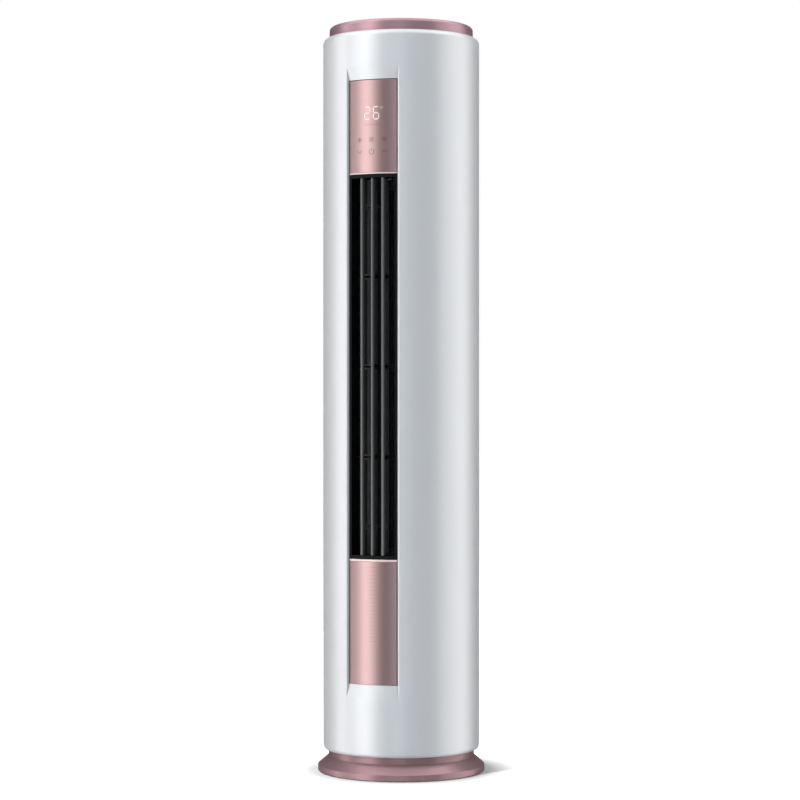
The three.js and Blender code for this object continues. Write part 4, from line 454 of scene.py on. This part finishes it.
def wall_fall(share):
    """How far down a recess wall is, 0 at its outer edge to 1 at the floor, with that edge rounded."""
    if share < BEVEL_ROUNDED:
        depth = share * share / (2 * BEVEL_ROUNDED)
    else:
        depth = share - BEVEL_ROUNDED / 2
    return depth / (1 - BEVEL_ROUNDED / 2)


def casing_radius(azimuth, r, z):
    """The casing's outer radius where the plain profile's is r: less inside the recess."""
    side = abs(azimuth)
    if side >= azimuth_outer or not recess_low < z < recess_high:
        return r
    share = min(1, (azimuth_outer - side) / (azimuth_outer - azimuth_inner))
    wall = BODY_RADIUS - (BODY_RADIUS - PANEL_RADIUS) * wall_fall(share)
    return min(r, max(wall, scoop_radius(z)))


def casing_columns():
    flank = between(azimuth_outer, SEAM_AZIMUTH, FLANK_STEPS)
    wall = between(azimuth_inner, azimuth_outer, WALL_STEPS)[:-1]
    middle = between(-azimuth_inner, azimuth_inner, FLOOR_STEPS)[1:-1]
    right = wall + flank
    return [-a for a in reversed(right)] + middle + right


def front_casing_skin():
    rows = casing_outline()

    def outer(row, azimuth):
        r, z = row
        return polar(casing_radius(azimuth, r, z), azimuth, z)

    def inner(row, azimuth):
        """Straight back inside the recess, towards the axis outside it, and down over the shoulder."""
        r, z = row
        inward = math.radians(azimuth) if abs(azimuth) > azimuth_outer else 0
        back = Vector((-math.sin(inward), math.cos(inward), 0)) * WALL
        if z < recess_high:
            return outer(row, azimuth) + back
        over_shoulder = (BODY_RADIUS - r) / SHOULDER
        return outer(row, azimuth) + back * (1 - over_shoulder) - Vector((0, 0, WALL)) * over_shoulder

    def kept(row, next_row, azimuth, next_azimuth):
        in_rows = row[1] >= lower_low.z - 2 * FIT and next_row[1] <= display_high.z + 2 * FIT
        in_columns = max(abs(azimuth), abs(next_azimuth)) < azimuth_inner + SAME_AZIMUTH
        return not (in_rows and in_columns)

    skin = thick_sheet("front_casing_skin", rows, casing_columns(), outer, inner, kept, "white_casing")
    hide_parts("front_casing")
    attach(skin, "housing")


# ------------------------------------------------------------------ rose panels
PANEL_ROWS = 8
PANEL_COLUMNS = 72
LIP_COLUMNS = 48
LIP_STEPS = 10


def on_face(x, radius, z):
    """A point on an upright cylinder's front, at a distance x across it."""
    return Vector((x, -math.sqrt(radius * radius - x * x), z))


def arc_panel(name, low_z, high_z, stands_for):
    """A curved plate between the side walls, a groove's width short of them, with rounded edges."""
    rows = between(low_z, high_z, PANEL_ROWS)
    columns = between(-PANEL_HALF_WIDTH + GROOVE, PANEL_HALF_WIDTH - GROOVE, PANEL_COLUMNS)

    def outer(z, x):
        return on_face(x, PANEL_RADIUS, z)

    def inner(z, x):
        return on_face(x, PANEL_RADIUS - PANEL_THICKNESS, z)

    plate = thick_sheet(name, rows, columns, outer, inner, lambda *cell: True, "rose_panel")
    round_edges(plate, PANEL_EDGE)
    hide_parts(stands_for)
    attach(plate, "housing")


def lip(name, low_z, high_z):
    """A rounded moulding along a panel's edge at the outlet, coloured pale as a painted highlight."""
    middle = (low_z + high_z) / 2
    half = (high_z - low_z) / 2
    section = [math.radians(a) for a in between(-90, 90, LIP_STEPS)]
    columns = between(-PANEL_HALF_WIDTH + GROOVE, PANEL_HALF_WIDTH - GROOVE, LIP_COLUMNS)
    points = []
    for x in columns:
        for angle in section:
            radius = PANEL_RADIUS - LIP_ROUND * (1 - math.cos(angle))
            points.append(on_face(x, radius, middle + half * math.sin(angle)))
    count = LIP_STEPS + 1
    faces = []
    for i in range(len(columns) - 1):
        a = i * count
        b = a + count
        faces += [(a + k, b + k, b + k + 1, a + k + 1) for k in range(LIP_STEPS)]
        faces.append((a + LIP_STEPS, b + LIP_STEPS, b, a))
    faces.append(tuple(range(count)))
    faces.append(tuple(reversed(range(len(points) - count, len(points)))))
    made = mesh_object(name, points, faces, "rose_panel")
    # The pale colour is a painted highlight along the edge.
    made.data.materials[0] = LIP_PAINTED_HIGHLIGHT
    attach(made, "housing")


# ------------------------------------------------------------------ base and cap
CREASE_SHARE = 0.6  # of a rounding's radius, from where two straight lines meet to its centre's height
CREASE_STEPS = 5
CAP_STEPS = 14
CAP_INNER_STEPS = 8
AXIS_HOLE = 1e-6  # radius of the pinhole that the cap's profile leaves on the axis


def base_skin():
    """The flared skirt with its neck and the flange inside the casing, from the floor up."""
    flange = base_high.z - WALL
    slope = math.degrees(math.atan2(NECK_START - BASE_RIM_TOP, BASE_RADIUS - NECK_RADIUS))
    rim = BASE_RADIUS - BASE_ROUNDING
    crease_z = BASE_RIM_TOP - BASE_ROUNDING * CREASE_SHARE
    cove_z = NECK_START + COVE_RADIUS * CREASE_SHARE
    profile = [
        *arc(rim, base_low.z + BASE_ROUNDING, BASE_ROUNDING, -90, 0, CREASE_STEPS),
        *arc(rim, crease_z, BASE_ROUNDING, 0, 90 - slope, CREASE_STEPS),
        *arc(NECK_RADIUS + COVE_RADIUS, cove_z, COVE_RADIUS, 270 - slope, 180, CREASE_STEPS),
        (NECK_RADIUS, flange),
        (BODY_RADIUS - WALL - FIT, flange),
        (BODY_RADIUS - WALL - FIT, base_high.z),
        (NECK_RADIUS - WALL, base_high.z),
        (NECK_RADIUS - WALL, NECK_START),
        (BASE_RADIUS - WALL, BASE_RIM_TOP),
        (BASE_RADIUS - WALL, base_low.z),
    ]
    skin = lathe("base_skin", profile, "rose_plastic")
    # Painted shade: the darker copy of the rose plastic stands in for the shade on the base.
    skin.data.materials[0] = ROSE_BASE_PAINTED_SHADE
    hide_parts("base_cover")
    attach(skin, "housing")


def cap_skin():
    """The round cap, hollow below, with a filleted edge."""
    centre_r = CAP_RADIUS - CAP_FILLET
    centre_z = cap_high.z - CAP_FILLET
    profile = [
        (AXIS_HOLE, cap_high.z),
        *arc(centre_r, centre_z, CAP_FILLET, 90, 0, CAP_STEPS),
        (CAP_RADIUS, cap_low.z),
        (CAP_RADIUS - WALL, cap_low.z),
        *arc(centre_r, centre_z, CAP_FILLET - WALL, 0, 90, CAP_INNER_STEPS),
        (AXIS_HOLE, cap_high.z - WALL),
    ]
    skin = lathe("cap_skin", profile, "rose_plastic")
    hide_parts("top_cap")
    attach(skin, "housing")


# ------------------------------------------------------------------ marks on the panels
LIT_MARK = surface("lit_mark", (0.86, 0.75, 0.75), 0.45, colour_change=0.01)
PRINTED_MARK = surface("printed_mark", (0.13, 0.07, 0.08), 0.5, colour_change=0.04)
FINE_LINE = surface("fine_line", (0.30, 0.19, 0.19), 0.4, metallic=0.8, colour_change=0.04)

MARK_RELIEF = 0.12 * MM
THIN = 1.15 * MM
HAIRLINE = 0.55 * MM
RING_STEPS = 28

# A seven-segment figure: where each segment starts and ends, and which ones a figure lights
SEGMENT_ENDS = {
    "a": ((-1, 1), (1, 1)), "b": ((1, 1), (1, 0)), "c": ((1, 0), (1, -1)), "d": ((1, -1), (-1, -1)),
    "e": ((-1, -1), (-1, 0)), "f": ((-1, 0), (-1, 1)), "g": ((-1, 0), (1, 0)),
}
SEGMENTS = {"2": "abged", "6": "acdefg"}
SEGMENT_INSET = 0.65  # share of its width that a segment stops short of a corner


class Marks:
    """Thin strokes laid on a panel. Places are in metres: x along the face, z up from a height on it."""

    def __init__(self, height):
        self.points = []
        self.faces = []
        self.height = height

    def stroke(self, line, width):
        """A line of (x, z) points with a width."""
        for (x0, z0), (x1, z1) in zip(line, line[1:]):
            length = math.hypot(x1 - x0, z1 - z0)
            nx, nz = -(z1 - z0) / length * width / 2, (x1 - x0) / length * width / 2
            corners = [(x0 + nx, z0 + nz), (x0 - nx, z0 - nz), (x1 - nx, z1 - nz), (x1 + nx, z1 + nz)]
            first = len(self.points)
            for proud in (-MARK_RELIEF, MARK_RELIEF):
                self.points += [on_face(x, PANEL_RADIUS + proud, self.height + z) for x, z in corners]
            self.faces.append((first + 4, first + 5, first + 6, first + 7))
            self.faces.append((first + 3, first + 2, first + 1, first))
            for k in range(4):
                n = (k + 1) % 4
                self.faces.append((first + k, first + n, first + n + 4, first + k + 4))

    def ring(self, x, z, radius, width, start=0, end=360):
        angles = [math.radians(a) for a in between(start, end, RING_STEPS)]
        self.stroke([(x + radius * math.cos(a), z + radius * math.sin(a)) for a in angles], width)

    def digit(self, figure, x, z, wide, tall, width):
        inset = width * SEGMENT_INSET
        for segment in SEGMENTS[figure]:
            (ax, az), (bx, bz) = SEGMENT_ENDS[segment]
            x0, z0 = x + ax * wide / 2, z + az * tall / 2
            x1, z1 = x + bx * wide / 2, z + bz * tall / 2
            length = math.hypot(x1 - x0, z1 - z0)
            ux, uz = (x1 - x0) / length * inset, (z1 - z0) / length * inset
            self.stroke([(x0 + ux, z0 + uz), (x1 - ux, z1 - uz)], width)

    def finish(self, name, material):
        made = mesh_object(name, self.points, self.faces, "rose_panel")
        made.data.materials[0] = material
        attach(made, "housing")


display_middle = (display_low.z + display_high.z) / 2


def display_digits():
    """Two lit figures with a degree sign."""
    above_middle = 31 * MM
    tall = 28 * MM
    wide = 13 * MM
    half_pitch = 11 * MM
    stroke = 2.3 * MM
    marks = Marks(display_middle + above_middle)
    marks.digit("2", -half_pitch, 0, wide, tall, stroke)
    marks.digit("6", half_pitch, 0, wide, tall, stroke)
    marks.ring(x=half_pitch + 13 * MM, z=12 * MM, radius=2.4 * MM, width=1.0 * MM)
    marks.finish("display_digits", LIT_MARK)


def snow_icon(marks, x, z, reach):
    for angle in (30, 90, 150):
        dx, dz = reach * math.cos(math.radians(angle)), reach * math.sin(math.radians(angle))
        marks.stroke([(x - dx, z - dz), (x + dx, z + dz)], THIN)


def sun_icon(marks, x, z, reach):
    disc = reach * 0.42
    ray = reach * 0.7
    marks.ring(x, z, disc, THIN)
    for angle in range(0, 360, 45):
        c, s = math.cos(math.radians(angle)), math.sin(math.radians(angle))
        marks.stroke([(x + ray * c, z + ray * s), (x + reach * c, z + reach * s)], THIN)


def wind_icon(marks, x, z, reach):
    pitch = reach * 0.6
    swell = reach * 0.14
    end_phase = 5  # radians from a wave's middle to its end
    for row in (-1, 0, 1):
        height = z + row * pitch
        wave = [(x + u * reach, height + swell * math.sin(end_phase * u)) for u in between(-1, 1, 16)]
        marks.stroke(wave, THIN)


def arrow_icon(marks, x, z, reach, up):
    rise = up * reach / 2
    marks.stroke([(x - reach, z - rise), (x, z + rise), (x + reach, z - rise)], THIN)


def power_icon(marks, x, z, reach):
    stem_low = z + reach * 0.3
    stem_high = z + reach * 1.3
    marks.ring(x, z, reach, THIN, 120, 420)
    marks.stroke([(x, stem_low), (x, stem_high)], THIN)


def touch_marks():
    """A line of small ticks under the figures, and two rows of keys."""
    marks = Marks(display_middle)
    line_half = 22 * MM
    ticks_half = line_half * 0.8
    tick_low = 3 * MM
    tick_high = 6.5 * MM
    marks.stroke([(-line_half, 0), (line_half, 0)], THIN)
    for x in between(-ticks_half, ticks_half, 6):
        marks.stroke([(x, tick_low), (x, tick_high)], THIN)
    column = 31 * MM
    upper = -30 * MM
    lower = -58 * MM
    reach = 6 * MM
    snow_icon(marks, -column, upper, reach)
    wind_icon(marks, 0, upper, reach)
    sun_icon(marks, column, upper, reach)
    arrow_icon(marks, -column, lower, reach, -1)
    power_icon(marks, 0, lower, reach)
    arrow_icon(marks, column, lower, reach, 1)
    marks.finish("touch_marks", PRINTED_MARK)


def fine_lines():
    """A column of hairlines down the upper part of the lower panel, each shorter than the last."""
    count = 20
    first = 18 * MM
    pitch = 9 * MM
    longest_half = 13 * MM
    shortening = 0.35 * MM
    marks = Marks(lower_high.z)
    for i in range(count):
        half = longest_half - shortening * i
        marks.stroke([(x, -first - i * pitch) for x in between(-half, half, 6)], HAIRLINE)
    marks.finish("fine_lines", FINE_LINE)


front_casing_skin()
arc_panel("display_panel_skin", display_low.z + DISPLAY_LIP, display_high.z - GROOVE, "display_panel")
arc_panel("lower_panel_skin", lower_low.z, lower_high.z - LOWER_LIP, "lower_panel")
lip("display_lip", display_low.z, display_low.z + DISPLAY_LIP)
lip("lower_lip", lower_high.z - LOWER_LIP, lower_high.z)
base_skin()
cap_skin()
display_digits()
touch_marks()
fine_lines()

# ------------------------------------------------------------------ studio
CAMERA_AZIMUTH = 22.5
CAMERA_DISTANCE = 5.7
CAMERA_HEIGHT = 0.8776
LENS = 108
SENSOR = 36
PICTURE_WIDTH = 800
AXIS_RIGHT = 1.22  # pixels from the picture's middle to the object's axis


def camera():
    """Level, at the photograph's angle, shifted so that the axis lies where the photograph has it."""
    made = bpy.data.cameras.new("camera")
    made.lens = LENS
    made.sensor_width = SENSOR
    made.shift_x = -AXIS_RIGHT / PICTURE_WIDTH
    made.clip_end = 100
    obj = bpy.data.objects.new("camera", made)
    bpy.context.scene.collection.objects.link(obj)
    obj.location = polar(CAMERA_DISTANCE, CAMERA_AZIMUTH, CAMERA_HEIGHT)
    obj.rotation_euler = (math.radians(90), 0, math.radians(CAMERA_AZIMUTH))
    bpy.context.scene.camera = obj


def lamp(name, size, power, place, tilt, azimuth):
    """A square area lamp that looks straight down, or is tilted up towards the axis."""
    light = bpy.data.lights.new(name, "AREA")
    light.size = size
    light.energy = power
    obj = bpy.data.objects.new(name, light)
    bpy.context.scene.collection.objects.link(obj)
    obj.location = place
    obj.rotation_euler = (tilt, 0, math.radians(azimuth))
    return obj


def strip(name, turn, distance, width, power, cool):
    """A tall strip of light at an azimuth counted from the camera's, aimed level at the axis."""
    azimuth = CAMERA_AZIMUTH + turn
    obj = lamp(name, width, power, polar(distance, azimuth, STRIP_HEIGHT), math.radians(90), azimuth)
    obj.data.shape = "RECTANGLE"
    obj.data.size_y = STRIP_TALL
    obj.data.color = (1 - cool, 1 - cool / 2, 1)
    obj.visible_camera = False


def overhead(size, power, height):
    obj = lamp("overhead", size, power, (0, 0, height), 0, 0)
    obj.visible_camera = False


def world(fill):
    """White where the camera looks past the object, and a faint cool fill for everything else."""
    made = bpy.data.worlds.new("studio")
    bpy.context.scene.world = made
    made.use_nodes = True
    tree = made.node_tree
    tree.nodes.clear()
    ray = node(tree, "ShaderNodeLightPath")
    seen = node(tree, "ShaderNodeBackground", Color=(1, 1, 1, 1), Strength=1.0)
    lit = node(tree, "ShaderNodeBackground", Color=(0.96, 0.98, 1, 1), Strength=fill)
    mix = node(tree, "ShaderNodeMixShader")
    end = node(tree, "ShaderNodeOutputWorld")
    tree.links.new(ray.outputs["Is Camera Ray"], mix.inputs[0])
    tree.links.new(lit.outputs[0], mix.inputs[1])
    tree.links.new(seen.outputs[0], mix.inputs[2])
    tree.links.new(mix.outputs[0], end.inputs["Surface"])


def floor():
    """A wide pale floor that takes the object's shadow and fades to the backdrop's white away from it.

    Only the camera sees the fade: to every other ray the floor is plain matt.
    """
    half = 30
    shadow_reach = 0.21
    white_reach = 0.31
    tone = 0.5
    corners = [(-half, -half, 0), (half, -half, 0), (half, half, 0), (-half, half, 0)]
    material = bpy.data.materials.new("floor")
    material.use_nodes = True
    tree = material.node_tree
    tree.nodes.clear()
    ray = node(tree, "ShaderNodeLightPath")
    matt = node(tree, "ShaderNodeBsdfDiffuse", Color=(tone, tone, tone, 1))
    glow = node(tree, "ShaderNodeEmission", Color=(1, 1, 1, 1))
    place = node(tree, "ShaderNodeTexCoord")
    away = node(tree, "ShaderNodeVectorMath", operation="LENGTH")
    fade = node(tree, "ShaderNodeMapRange")
    fade.inputs["From Min"].default_value = shadow_reach
    fade.inputs["From Max"].default_value = white_reach
    tree.links.new(place.outputs["Object"], away.inputs[0])
    tree.links.new(away.outputs["Value"], fade.inputs["Value"])
    tree.links.new(fade.outputs["Result"], glow.inputs["Strength"])
    both = node(tree, "ShaderNodeAddShader")
    mix = node(tree, "ShaderNodeMixShader")
    end = node(tree, "ShaderNodeOutputMaterial")
    tree.links.new(matt.outputs[0], both.inputs[0])
    tree.links.new(glow.outputs[0], both.inputs[1])
    tree.links.new(ray.outputs["Is Camera Ray"], mix.inputs[0])
    tree.links.new(matt.outputs[0], mix.inputs[1])
    tree.links.new(both.outputs[0], mix.inputs[2])
    tree.links.new(mix.outputs[0], end.inputs["Surface"])
    mesh = bpy.data.meshes.new("floor")
    mesh.from_pydata(corners, [], [(0, 1, 2, 3)])
    mesh.materials.append(material)
    obj = bpy.data.objects.new("floor", mesh)
    obj.visible_glossy = False
    obj.visible_shadow = False
    bpy.context.scene.collection.objects.link(obj)
    obj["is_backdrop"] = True
    return obj


def shadow_key(size, power, turn, distance, height, ground):
    """A small lamp that lights the floor alone, so that the object's shadow falls to one side."""
    lit = bpy.data.collections.new("lit_by_shadow_key")
    lit.objects.link(ground)
    azimuth = CAMERA_AZIMUTH + turn
    place = polar(distance, azimuth, height)
    obj = lamp("shadow_key", size, power, place, math.atan2(distance, height), azimuth)
    obj.light_linking.receiver_collection = lit


STRIP_HEIGHT = 0.9  # of each strip's middle over the floor
STRIP_TALL = 9.0
# Name, degrees from the camera's azimuth, distance and width in metres, watts, and how blue from 0 to 1
STRIPS = [
    ("left_side", -96, 2.6, 0.4, 47, 0.0),
    ("left_between", -75, 2.6, 0.5, 13, 0.0),
    ("left_front", -56, 2.6, 0.7, 52, 0.0),
    ("left_shoulder", -45, 2.6, 0.7, 33, 0.0),
    ("left_fill", -12, 3.2, 0.8, 14, 0.2),
    ("front_fill", 0, 6.5, 1.5, 57, 0.2),
    ("right_soft", 30, 3.2, 0.8, 15, 0.2),
    ("right_fill", 62, 2.6, 0.5, 21, 0.0),
    ("right_front", 72, 2.6, 0.5, 15, 0.0),
    ("right_side", 88, 2.6, 0.5, 34, 0.0),
    ("right_back", 105, 2.6, 0.5, 37, 0.0),
    ("back", 180, 3.4, 1.2, 70, 0.0),
]

camera()
world(fill=0.02)
ground = floor()
for values in STRIPS:
    strip(*values)
overhead(size=5.0, power=115, height=4.0)
shadow_key(size=0.25, power=290, turn=-43, distance=4.0, height=3.2, ground=ground)

bpy.context.scene.view_settings.view_transform = "Standard"

save_bounds("scene")
